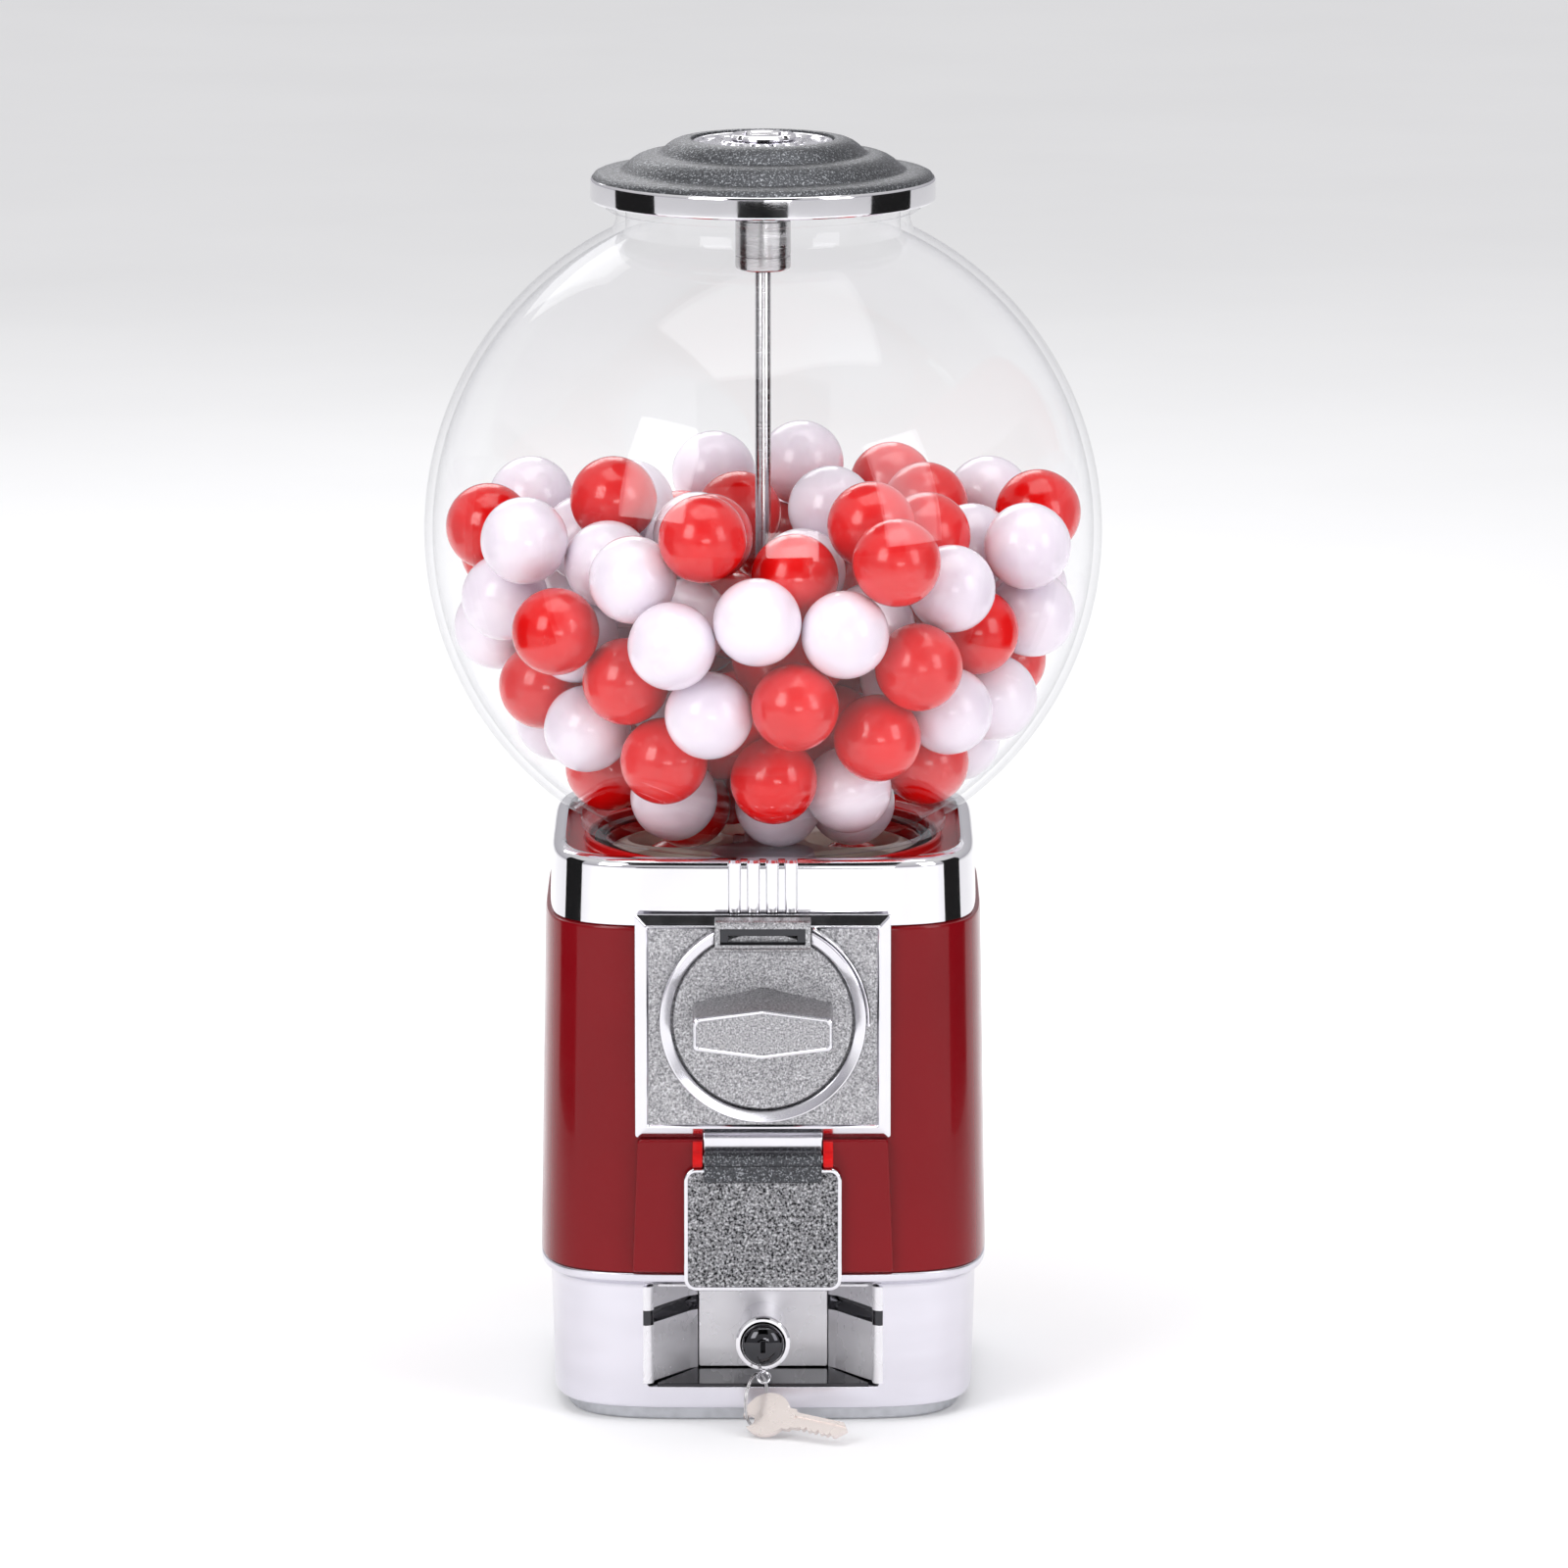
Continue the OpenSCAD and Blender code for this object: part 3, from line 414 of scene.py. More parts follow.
def lathe(name, profile, materials, axis="Z", centre=(0, 0, 0), steps=128, closed=True,
          slots=None, wobble=None):
    """Turns (radius, height) points round an axis. wobble(angle, radius, height) changes a radius."""
    cx, cy, cz = centre
    verts = []
    for r, h in profile:
        for i in range(steps):
            a = 2 * math.pi * i / steps
            radius = wobble(a, r, h) if wobble else r
            u, v = radius * math.cos(a), radius * math.sin(a)
            verts.append((cx + u, cy + v, cz + h) if axis == "Z" else (cx + u, cy + h, cz + v))
    faces, face_slots = [], []
    rows = len(profile) if closed else len(profile) - 1
    for row in range(rows):
        a, b = row * steps, (row + 1) % len(profile) * steps
        for i in range(steps):
            j = (i + 1) % steps
            faces.append((a + i, a + j, b + j, b + i))
            face_slots.append(slots[row] if slots else 0)
    obj = new_object(name, verts, faces, materials, face_slots)
    fix = bmesh.new()
    fix.from_mesh(obj.data)
    bmesh.ops.dissolve_degenerate(fix, dist=1e-6, edges=fix.edges)
    fix.to_mesh(obj.data)
    fix.free()
    smooth(obj)
    return obj


def arc(cx, cy, radius, start, end, count=6):
    """Points on an arc, angles in degrees."""
    return [
        (cx + radius * math.cos(math.radians(start + (end - start) * i / count)),
         cy + radius * math.sin(math.radians(start + (end - start) * i / count)))
        for i in range(count + 1)
    ]


def rounded(points, radius, count=5):
    """A closed outline with each corner rounded."""
    out = []
    for i, here in enumerate(points):
        here = Vector(here)
        before, after = Vector(points[i - 1]), Vector(points[(i + 1) % len(points)])
        u, v = (before - here).normalized(), (after - here).normalized()
        half = u.angle(v) / 2
        reach = min(radius / math.tan(half), (before - here).length * 0.45,
                    (after - here).length * 0.45)
        r = reach * math.tan(half)
        middle = here + (u + v).normalized() * (r / math.sin(half))
        a, b = here + u * reach - middle, here + v * reach - middle
        turn = a.angle_signed(b)
        for k in range(count + 1):
            out.append(tuple(middle + Matrix.Rotation(-turn * k / count, 2) @ a))
    return out


def rectangle(x0, z0, x1, z1):
    return [(x0, z0), (x1, z0), (x1, z1), (x0, z1)]


def piece(obj, body, slot, *nodes):
    """Declares a finished piece: its body and the CAD nodes it stands for. The slot argument is not used.

    Its normals follow the large faces, so that flat faces reflect as flat.
    """
    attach(obj, body)
    flat = obj.modifiers.new("weighted_normals", "WEIGHTED_NORMAL")
    flat.keep_sharp = True
    if nodes:
        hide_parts(*nodes)
    return obj


# ---------------------------------------------------------------- camera, light, floor


def look(obj, target):
    obj.rotation_euler = (Vector(target) - obj.location).to_track_quat("-Z", "Y").to_euler()


def make_camera():
    data = bpy.data.cameras.new("camera")
    camera = bpy.data.objects.new("camera", data)
    scene.collection.objects.link(camera)
    camera.location = (0.0077, -3.5, 0.885)
    camera.rotation_euler = (math.radians(90 - 10.7), 0, 0)
    data.sensor_width = 36
    data.lens = 220.6
    data.clip_end = 100
    scene.camera = camera


def softbox(name, place, target, width, height, power, colour=(1, 1, 1)):
    data = bpy.data.lights.new(name, "AREA")
    data.shape = "RECTANGLE"
    data.size, data.size_y = width, height
    data.energy = power
    data.color = colour
    lamp = bpy.data.objects.new(name, data)
    scene.collection.objects.link(lamp)
    lamp.location = place
    look(lamp, target)


def flag(name, place, target, width, height):
    """A black card that only reflections see, as a photographer's flag beside polished metal."""
    mesh = bpy.data.meshes.new(name)
    w, h = width / 2, height / 2
    mesh.from_pydata([(-w, -h, 0), (w, -h, 0), (w, h, 0), (-w, h, 0)], [], [(0, 1, 2, 3)])
    mesh.materials.append(FLAG_BLACK)
    card = bpy.data.objects.new(name, mesh)
    scene.collection.objects.link(card)
    card.location = place
    look(card, target)
    card.visible_camera = False
    card.visible_diffuse = False
    card.visible_transmission = False
    card.visible_shadow = False


def make_floor():
    side = 20.0
    mesh = bpy.data.meshes.new("floor")
    mesh.from_pydata([(-side, -side, 0), (side, -side, 0), (side, side, 0), (-side, side, 0)],
                     [], [(0, 1, 2, 3)])
    g = Graph("floor_paper", Roughness=0.75)
    g.colour(g.ramp(g.noise(3, 4), [(0.3, (0.83, 0.83, 0.84)), (0.7, (0.86, 0.86, 0.87))]))
    g.bump(g.noise(900, 2), 0.03, 0.0002)
    g.shader.inputs["Emission Color"].default_value = (1, 1, 1, 1)
    g.shader.inputs["Emission Strength"].default_value = 0.11
    mesh.materials.append(g.material)
    floor = bpy.data.objects.new("floor", mesh)
    scene.collection.objects.link(floor)
    floor.location.z = -0.0004


def make_world():
    world = bpy.data.worlds.new("studio")
    world.use_nodes = True
    tree = world.node_tree
    background = tree.nodes["Background"]
    coords = tree.nodes.new("ShaderNodeTexCoord")
    split = tree.nodes.new("ShaderNodeSeparateXYZ")
    ramp = tree.nodes.new("ShaderNodeValToRGB")
    ramp.color_ramp.elements[0].position = 0.0
    ramp.color_ramp.elements[0].color = (0.62, 0.61, 0.66, 1)
    ramp.color_ramp.elements[1].position = 0.75
    ramp.color_ramp.elements[1].color = (1.0, 1.0, 1.0, 1)
    tree.links.new(coords.outputs["Generated"], split.inputs[0])
    tree.links.new(split.outputs["Z"], ramp.inputs["Fac"])
    tree.links.new(ramp.outputs["Color"], background.inputs["Color"])
    background.inputs["Strength"].default_value = 0.74
    scene.world = world


FLAG_BLACK = Graph("flag_black", Roughness=1.0).material
FLAG_BLACK.node_tree.nodes["Principled BSDF"].inputs["Base Color"].default_value = (0, 0, 0, 1)

make_camera()
make_world()
make_floor()
scene.view_settings.view_transform = "Standard"
softbox("key_light", (-1.5, -1.9, 1.5), (0, 0, 0.28), 1.1, 1.5, 26)
softbox("fill_light", (1.9, -1.5, 1.1), (0, 0, 0.25), 0.9, 1.5, 15, (0.97, 0.97, 1.0))
softbox("low_front_light", (0.5, -2.9, 0.5), (0, 0, 0.1), 0.9, 0.5, 8)
softbox("top_light", (0.1, -0.2, 2.2), (0, 0, 0.3), 1.8, 1.4, 16)
softbox("back_light", (-0.5, 2.0, 1.6), (0, 0, 0.3), 1.6, 1.0, 12)
for side in (-1, 1):
    flag("flag_side", (side * 0.62, 0.03, 0.275), (0, 0.03, 0.275), 0.43, 0.55)
flag("flag_over", (0, -1.1, 1.3), (0, 0, 0.2), 1.1, 1.0)
flag("flag_low", (0, -2.1, 0.19), (0, 0, 0.19), 1.24, 0.26)


# ---------------------------------------------------------------- base


def make_base():
    low, high = corners("base_casting")
    wall, lip_low = 3.0, high.z - 3.2
    low_half, top_half, lip_half = 77.5, 78.75, high.x
    inner = low_half - wall
    sections = [(inner, low.z), (low_half - 0.9, low.z), (low_half - 0.25, low.z + 0.35),
                (low_half, low.z + 1.1), (top_half - 0.1, lip_low - 3.4), (top_half, lip_low - 2.6),
                (top_half + 0.9, lip_low - 1.3), (lip_half - 0.8, lip_low - 0.35),
                (lip_half - 0.15, lip_low + 0.2), (lip_half, lip_low + 0.8),
                (lip_half, high.z - 0.7), (lip_half - 0.25, high.z - 0.15),
                (lip_half - 0.8, high.z), (inner, high.z)]
    base = plan_shell("base_casting_body", sections, ["base_metal"])
    mouth_low, mouth_high = corners("recess_surround")
    mouth = rectangle(mouth_low.x - 1.2, mouth_low.z, mouth_high.x + 1.2, mouth_high.z)
    cutter = slab("recess_cutter", rounded(mouth, 1.0), -95, -70, ["base_metal"])
    carve(base, cutter)
    bevel(base, 0.5, 2)
    piece(base, "cabinet", "base_metal", "base_casting")


def surround_profile(side, z, low, high):
    """Plan of the recess's side wall at height z: rounded outer lip, wall and fillet at the back."""
    crease_z, lip = low.z + 26.7, 3.0
    pinch = 1.9 * max(0.0, 1 - abs(z - crease_z) / 3.2)
    mouth, back, front_y, back_y = high.x - 1.2, 24.0, -78.5, -53.0
    line = arc(mouth + lip, front_y + lip, lip, 270, 146, 10)
    line += [(mouth - 4.2 + pinch, -67.5), (mouth - 9.5 + pinch, -60.0), (back + 3.4 + pinch, -55.6)]
    line += [(back + 2.2 + pinch * 0.5, -54.3), (back + 0.9, back_y - 0.4), (back, back_y + 0.4)]
    thick = 1.0
    outer = [(x + thick, y + thick * 0.5) for x, y in line]
    return [(side * x, y, z) for x, y in line + outer[::-1]]


def make_recess():
    low, high = corners("recess_surround")
    heights = [low.z + 1.2, low.z + 8, low.z + 16, low.z + 23.2, low.z + 24.6, low.z + 25.8, low.z + 26.7,
               low.z + 27.6, low.z + 28.8, low.z + 30.2, low.z + 34, high.z - 1.2]
    for side, name in ((-1, "recess_cheek_left"), (1, "recess_cheek_right")):
        loops = [surround_profile(side, z, low, high) for z in heights]
        verts, faces = stack(loops)
        # Faces round the crease take the second, black slot: a painted dark reflection, the dark bow-tie seen on
        # the cheeks.
        middles = [sum(verts[i][2] for i in face) / len(face) for face in faces]
        painted_reflection_band = [1 if abs(middle - low.z - 26.4) < 2.6 and len(face) == 4 else 0
                  for middle, face in zip(middles, faces)]
        cheek = new_object(name, verts, faces, ["recess_silver", "black_chrome"], painted_reflection_band)
        bevel(cheek, 0.25, 2, angle=50)
        piece(cheek, "cabinet", "chrome")
    floor_line = [(-high.x + 1.4, low.y + 0.2), (high.x - 1.4, low.y + 0.2), (24.6, -53), (24.6, -50.2),
                  (-24.6, -50.2), (-24.6, -53)]
    # The floor shelf is black as painted shade, for the dark strip at the bottom of the recess; the ceiling stays
    # silver.
    for name, z0, z1 in (("recess_floor", low.z, low.z + 1.2), ("recess_ceiling", high.z - 1.2, high.z)):
        loops = [[(x, y, z) for x, y in rounded(floor_line, 1.2)] for z in (z0, z1)]
        shelf = new_object(name, *stack(loops), ["black_chrome" if z0 == low.z else "recess_silver"])
        bevel(shelf, 0.3, 2)
        replaced = ["recess_surround"] if name == "recess_floor" else []
        piece(shelf, "cabinet", "chrome", *replaced)
    catch = block("drawer_catch", (-10, -41.2, 46.4), (10, -40, high.z - 1.0), ["zinc_sheet"])
    bevel(catch, 0.2, 2)
    piece(catch, "cabinet", "zinc_sheet")


def make_drawer_front():
    low, high = corners("drawer_front")
    panel = slab("drawer_panel", rounded(rectangle(low.x, low.z, high.x, high.z), 0.8),
                 low.y, high.y, ["recess_silver"])
    bevel(panel, 0.35, 3)
    piece(panel, "drawer", "base_metal", "drawer_front")


# ---------------------------------------------------------------- body


def make_body():
    low, high = corners("body_shell")
    low_half, top_half, wall = high.x, 80.0, 3.5
    z0, z1 = low.z, BODY_TOP

    def half(z):
        return low_half + (top_half - low_half) * (z - z0) / (z1 - z0)

    sections = [(low_half - wall, z0), (low_half - 0.9, z0), (low_half - 0.25, z0 + 0.3),
                (half(z0 + 1), z0 + 1)]
    steps = 12
    sections += [(half(z0 + 1 + (z1 - z0 - 2.2) * i / steps), z0 + 1 + (z1 - z0 - 2.2) * i / steps)
                 for i in range(1, steps + 1)]
    sections += [(top_half - 0.3, z1 - 0.3), (top_half - 1.0, z1), (top_half - wall, z1)]
    body = plan_shell("body_casting", sections, ["red_paint"])
    pad_half, pad_y, pad_low, pad_top = 46.5, -84.6, 58.0, 107.6
    pad_outline = rounded([(-pad_half - 1.2, pad_low), (pad_half + 1.2, pad_low),
                           (pad_half - 0.8, pad_top), (-pad_half + 0.8, pad_top)], 1.5)
    pad = slab("pad", pad_outline, pad_y, -77.5, ["red_paint"])
    bevel(pad, 0.9, 3)
    carve(body, pad, "UNION")
    carve(body, block("mech_cutter", (-38, -95, 114), (38, -60, z1 + 5), ["red_paint"]))
    carve(body, block("outlet_cutter", (-19.7, -95, 58.2), (19.7, -60, 104.4), ["red_paint"]))
    carve(body, block("seat_cutter", (-46.7, -95, 108), (46.7, -80.77, z1 + 5), ["red_paint"]))
    carve(body, block("tab_cutter", (-22, -95, 100.4), (22, -82, 109), ["red_paint"]))
    smooth(body)
    piece(body, "cabinet", "red_paint", "body_shell")
    pin_low, pin_high = corners("door_pin")
    hinge_y, hinge_z = (pin_low.y + pin_high.y) / 2, (pin_low.z + pin_high.z) / 2
    for side, name in ((-1, "hinge_cheek_left"), (1, "hinge_cheek_right")):
        x0, x1 = sorted((side * 22.0, side * 25.6))
        outline = arc(hinge_y, hinge_z, 3.0, 90, 270, 10)
        outline += [(pad_y + 0.6, hinge_z - 3.0), (pad_y + 0.6, pad_top - 0.4),
                    (pad_y - 1.2, pad_top - 0.6)]
        loops = [[(x, y, z) for y, z in outline] for x in (x0, x1)]
        cheek = new_object(name, *stack(loops), ["hopper_red"])
        bevel(cheek, 0.4, 3)
        piece(cheek, "cabinet", "red_paint")


def make_band():
    low, high = corners("top_band")
    low_half, top_half = 78.5, 77.75
    z0, z1 = low.z, high.z
    sections = [(low_half - 3, z0), (low_half - 0.5, z0), (low_half, z0 + 0.5)]
    steps = 8
    sections += [(low_half + (top_half - low_half) * i / steps, z0 + 0.5 + (z1 - 4 - z0) * i / steps)
                 for i in range(1, steps + 1)]
    centre = top_half - 3.4
    sections += [(x, z) for x, z in arc(centre, z1 - 3.4, 3.4, 6, 84, 8)]
    sections += [(centre - 0.9, z1), (centre - 1.6, z1 - 0.5), (centre - 1.9, z1 - 1.4),
                 (top_half - 6.0, z0 + 16.2), (top_half - 5.2, z0 + 11)]
    band = plan_shell("band_ring", sections, ["chrome"])
    piece(band, "cabinet", "chrome", "top_band")
    plate_top = corners("coin_plate")[1].z
    pitch, width, count = 6.87, 5.0, 4
    z_low, z_high = plate_top + 0.3, z1
    for i in range(count):
        x = (i - (count - 1) / 2) * pitch
        section = [(x - width / 2, -75.2)]
        section += [(x + (width / 2 - 0.15) * math.sin(t), -78.55 - 1.62 * math.cos(t) ** 0.7)
                    for t in [math.radians(a) for a in range(-88, 89, 16)]]
        section += [(x + width / 2, -75.2)]
        loops = [[(px, py, z) for px, py in section] for z in (z_low, z_high - 1.0)]
        loops.append([(x + (px - x) * 0.9, min(py + 0.9, -75.4), z_high) for px, py in section])
        rib = new_object(f"band_rib_{i + 1}", *stack(loops), ["chrome"])
        bevel(rib, 0.3, 2, angle=50)
        piece(rib, "cabinet", "chrome")


def make_hopper():
    low, high = corners("hopper_plate")
    half = high.x
    top = 203.0
    hole, rim_in, rim_out = 58.0, 64.2, 66.2

    def circle(r, z):
        return [(r * p.x / p.length, r * p.y / p.length, z) for p in UNIT_PLAN]

    edge = [(half - 0.3, top - 3), (half, top - 2.4), (half, top - 0.6), (half - 0.5, top),
            (half - 4.5, top + 0.25)]
    well = [(rim_out + 0.6, top + 0.3), (rim_out, top + 0.7), (rim_out, high.z - 0.5),
            (rim_out - 0.5, high.z), (rim_in + 0.5, high.z), (rim_in, high.z - 0.5),
            (rim_in, top + 0.1), (hole + 0.6, top), (hole, top - 0.5), (hole, low.z + 0.4),
            (hole + 0.5, low.z), (hole + 2.2, low.z), (hole + 2.5, low.z + 0.5),
            (hole + 2.5, top - 3.6), (hole + 3.4, top - 3)]
    loops = [plan_loop(h, z) for h, z in edge] + [circle(r, z) for r, z in well]
    hopper = new_object("hopper_deck", *stack(loops, closed=True), ["hopper_red"])
    piece(hopper, "cabinet", "hopper_red", "hopper_plate")


# ---------------------------------------------------------------- globe and gumballs


def make_globe():
    low, high = corners("globe")
    radius, wall, centre = high.x, 3.0, GLOBE_Z
    inner = radius - wall

    def on_sphere(r, ring_radius, top):
        rise = math.degrees(math.acos(ring_radius / r))
        return rise if top else -rise

    neck, collar, step = 54.0, 61.0, 67.6
    start, end = on_sphere(radius, step, False), on_sphere(radius, neck + 1.2, True)
    outer = [(collar - 0.6, low.z), (collar, low.z + 0.6), (collar, 207.6), (collar + 0.5, 208.3),
             (step - 0.9, 208.7), (step - 0.2, 209.1), (step, 209.9), (step, 211.6),
             (step - 0.5, 212.4), (step - 0.5, 213.1)]
    outer += [(x, z + centre) for x, z in arc(0, 0, radius, start + 0.35, end, 90)]
    outer += [(neck + 0.4, 433.6), (neck, 434.8), (neck, 437.6), (neck + 0.5, 438.3),
              (neck + 3.4, 438.6), (neck + 4, 439.2), (neck + 4, high.z - 0.5), (neck + 3.5, high.z)]
    inside = [(neck - 3, high.z), (neck - 3.5, high.z - 0.5), (neck - 3.5, 431.5)]
    start, end = on_sphere(inner, neck - 2.8, True), on_sphere(inner, 58.2, False)
    inside += [(x, z + centre) for x, z in arc(0, 0, inner, start, end, 90)]
    inside += [(57.5, 210.6), (57.5, low.z + 0.5), (58, low.z)]
    globe = lathe("globe_shell", outer + inside, ["clear_globe"], steps=192)
    piece(globe, "cabinet", "clear_globe", "globe")


def islands(mesh):
    """Corner points of each separate solid of a mesh."""
    work = bmesh.new()
    work.from_mesh(mesh)
    bmesh.ops.remove_doubles(work, verts=work.verts, dist=1e-6)
    left = set(work.verts)
    groups = []
    while left:
        seed = min(left, key=lambda v: v.index)
        group, reach = {seed}, [seed]
        while reach:
            here = reach.pop()
            for edge in here.link_edges:
                other = edge.other_vert(here)
                if other not in group:
                    group.add(other)
                    reach.append(other)
        left -= group
        groups.append([v.co.copy() for v in group])
    work.free()
    return groups


def make_balls(node, material, body, name):
    """Each gumball of a node, with a faint moulding seam and its own small unevenness."""
    rng = random.Random(len(name))
    made = bmesh.new()
    for points in islands(frame["nodes"][node].data):
        low = Vector([min(p[i] for p in points) for i in range(3)])
        high = Vector([max(p[i] for p in points) for i in range(3)])
        centre, radius = (low + high) / 2, (high.z - low.z) / 2
        turn = Matrix.Rotation(rng.uniform(0, math.pi), 3, "X") @ Matrix.Rotation(
            rng.uniform(0, math.pi), 3, "Y")
        phase = rng.uniform(0, 6)
        new = bmesh.ops.create_icosphere(made, subdivisions=5, radius=radius)["verts"]
        for v in new:
            unit = v.co.normalized()
            seam = math.exp(-(unit.z * 60) ** 2) * 0.06 * MM
            uneven = math.sin(unit.x * 3 + phase) * math.sin(unit.y * 4 + phase) * 0.05 * MM
            v.co = centre + turn @ (unit * (radius - 0.06 * MM - seam + uneven))
    mesh = bpy.data.meshes.new(name)
    made.to_mesh(mesh)
    made.free()
    mesh.materials.append(MATERIALS[material])
    obj = bpy.data.objects.new(name, mesh)
    scene.collection.objects.link(obj)
    smooth(obj, math.radians(60))
    piece(obj, body, material, node)


# ---------------------------------------------------------------- lid


def make_lid():
    low, high = corners("lid")
    med_low, med_high = corners("lid_medallion")
    rim, shank = high.x, 5.1
    chrome_part = [(rim - 3, 0), (rim - 0.6, 0), (rim - 0.1, 0.4), (rim, 1.0), (rim, 7.1),
                   (rim - 0.2, 7.8), (rim - 0.6, 8.2)]
    bell = [(rim - 0.8, 8.4), (61.8, 9.5), (60.3, 10.2), (58.0, 10.65), (54.8, 10.8), (52.9, 10.85),
            (52.1, 11.15), (51.2, 11.9), (49.9, 13.1), (48.3, 14.4), (46.4, 15.6), (44.4, 16.4),
            (42.2, 16.75), (39.7, 16.85), (38.7, 16.95), (38.0, 17.3), (37.0, 18.2), (35.4, 19.7),
            (33.6, 21.0), (31.6, 21.9), (29.6, 22.35), (27.4, 22.5), (26.6, 22.4), (26.3, 22.0)]
    under = [(26.3, 19.3), (shank, 19.3), (shank, 1.5), (12.4, 1.5), (13, 2.1), (13, 8.5), (46, 8.5),
             (46, 1.5), (rim - 3, 1.5)]
    profile = [(r, low.z + h) for r, h in chrome_part + bell + under]
    slots = [0] * (len(chrome_part) - 1) + [1] * (len(bell) + len(under) + 1)
    lid = lathe("lid_cover", profile, ["chrome", "granular_dark"], steps=192, slots=slots)
    piece(lid, "lid", "granular_metal", "lid")

    def petals(angle, r, h):
        return r + (0.5 * math.cos(16 * angle) if 14.8 < r < 23.5 and h > med_high.z - 1.6 else 0)

    z0, z1 = med_low.z, med_high.z
    disc = [(shank, z0), (25.6, z0), (26.1, z0 + 0.4), (26.2, z0 + 1.0), (26.0, z1 - 0.7),
            (25.4, z1 - 0.1), (24.6, z1), (23.8, z1 - 0.2), (23.2, z1 - 0.9), (21.5, z1 - 1.2),
            (19.0, z1 - 0.8), (16.6, z1 - 1.2), (14.9, z1 - 0.9), (14.4, z1 - 0.2), (13.8, z1), (shank, z1)]
    medallion = lathe("lid_rosette", disc, ["polished_edge"], steps=192, wobble=petals)
    piece(medallion, "lid", "chrome", "lid_medallion")

    k_low, k_high = corners("lid_knob")

    def notches(angle, r, h):
        deep = max(0.0, math.cos(4 * (angle - math.pi / 4))) ** 14
        return r - 1.7 * deep if r > 9 else r

    z1 = k_high.z
    base = med_high.z + 0.1
    knob = [(2.96, k_low.z), (4.6, k_low.z), (5.0, k_low.z + 0.4), (5.0, base - 0.1), (11.4, base),
            (12.1, base + 0.5), (12.3, base + 1.2), (12.2, z1 - 0.9), (11.6, z1 - 0.2), (10.8, z1),
            (9.6, z1 - 0.1), (9.0, z1 - 0.7), (8.2, z1 - 1.1), (3.0, z1 - 0.8), (0.0, z1 - 0.7),
            (0.0, 458.6), (2.96, 458.6)]
    turn_knob = lathe("lid_turn_knob", knob, ["chrome"], steps=160, wobble=notches)
    piece(turn_knob, "lid_knob", "chrome", "lid_knob")

    b_low, b_high = corners("lid_barrel")
    r, bore = 10.15, 2.97
    barrel = [(bore, b_low.z + 0.4), (bore + 0.4, b_low.z), (r - 0.9, b_low.z), (r - 0.2, b_low.z + 0.5),
              (r, b_low.z + 1.2), (r, b_low.z + 5.0), (r - 0.35, b_low.z + 5.2), (r - 0.35, b_low.z + 5.6),
              (r, b_low.z + 5.8), (r, b_high.z - 9.4), (r - 0.7, b_high.z - 9.1), (r - 0.7, b_high.z - 8.3),
              (r, b_high.z - 8.0), (r, b_high.z - 4.0), (r + 0.5, b_high.z - 3.3), (11.4, b_high.z - 3.0),
              (11.6, b_high.z - 2.4), (11.6, b_high.z - 0.3), (11.2, b_high.z), (bore, b_high.z)]
    tube = lathe("rod_barrel", barrel, ["steel"], steps=96)
    piece(tube, "lid", "steel", "lid_barrel")


# ---------------------------------------------------------------- coin mechanism


def make_coin_plate():
    low, high = corners("coin_plate")
    front, back = low.y, high.y
    x1, z0, z1 = high.x, PLATE_LOW, high.z
    border = 5.0
    insets = [0, 0, 0.3, border - 1.5, border - 1.2, border - 0.8, border - 0.5, border]
    edges = [rounded(rectangle(-x1 + d, z0 + d, x1 - d, z1 - d), 0.9, 5) for d in insets]
    depths = [back, front + 1.95, front + 1.7, front + 0.1, front, front, front + 0.25, front + 0.9]
    loops = [[(x, y, z) for x, z in edge] for edge, y in zip(edges, depths)]
    verts, faces = stack(loops)
    # The last cap is the granular field
    slots = [0] * len(faces)
    slots[-1] = 1
    plate = new_object("coin_plate_cover", verts, faces, ["polished_edge", "granular_fine"], slots)
    bore = lathe("bore_cutter", [(0, back + 5), (4.06, back + 5), (4.06, front - 5), (0, front - 5)],
                 ["granular_fine"], "Y", (0, 0, SHAFT_Z), 48, closed=False)
    carve(plate, bore)
    piece(plate, "cabinet", "granular_metal", "coin_plate")
    tab = slab("coin_plate_tab", rounded(rectangle(-21.8, low.z, 21.8, PLATE_LOW + 0.5), 0.6),
               front + 0.1, back - 1.6, ["polished_edge"])
    bevel(tab, 0.5, 3)
    piece(tab, "cabinet", "granular_metal")


def make_bezel():
    low, high = corners("coin_bezel")
    front, back = low.y, high.y
    centre = (0, 0, SHAFT_Z)
    outer, inner = 37.6, 33.4
    profile = [(outer, back), (outer, front + 0.7), (outer - 0.25, front + 0.2), (outer - 0.7, front),
               (inner + 0.9, front + 0.55), (inner + 0.3, front + 0.8), (inner, front + 1.3), (inner, back)]
    ring = lathe("bezel_ring", profile, ["polished_edge"], "Y", centre, 192)
    hood_low, hood_high = corners("coin_hood")
    carve(ring, block("hood_cutter", (hood_low.x - 0.4, front - 5, 176), (hood_high.x + 0.4, back + 5, 200),
                      ["polished_edge"]))
    piece(ring, "cabinet", "chrome", "coin_bezel")
    wall_in, wall_out = 37.9, 39.1
    section = [(wall_in, back), (wall_in, front + 1.5), (wall_in + 0.4, front + 1.0),
               (wall_out - 0.4, front + 1.0), (wall_out, front + 1.5), (wall_out, back)]
    loops = []
    first, last, count = -3.0, 62.0, 40
    for i in range(count + 1):
        a = math.radians(first + (last - first) * i / count)
        loops.append([(r * math.cos(a), y, centre[2] + r * math.sin(a)) for r, y in section])
    guard = new_object("bezel_guard", *stack(loops), ["chrome"])
    bevel(guard, 0.25, 2, angle=50)
    piece(guard, "cabinet", "chrome")


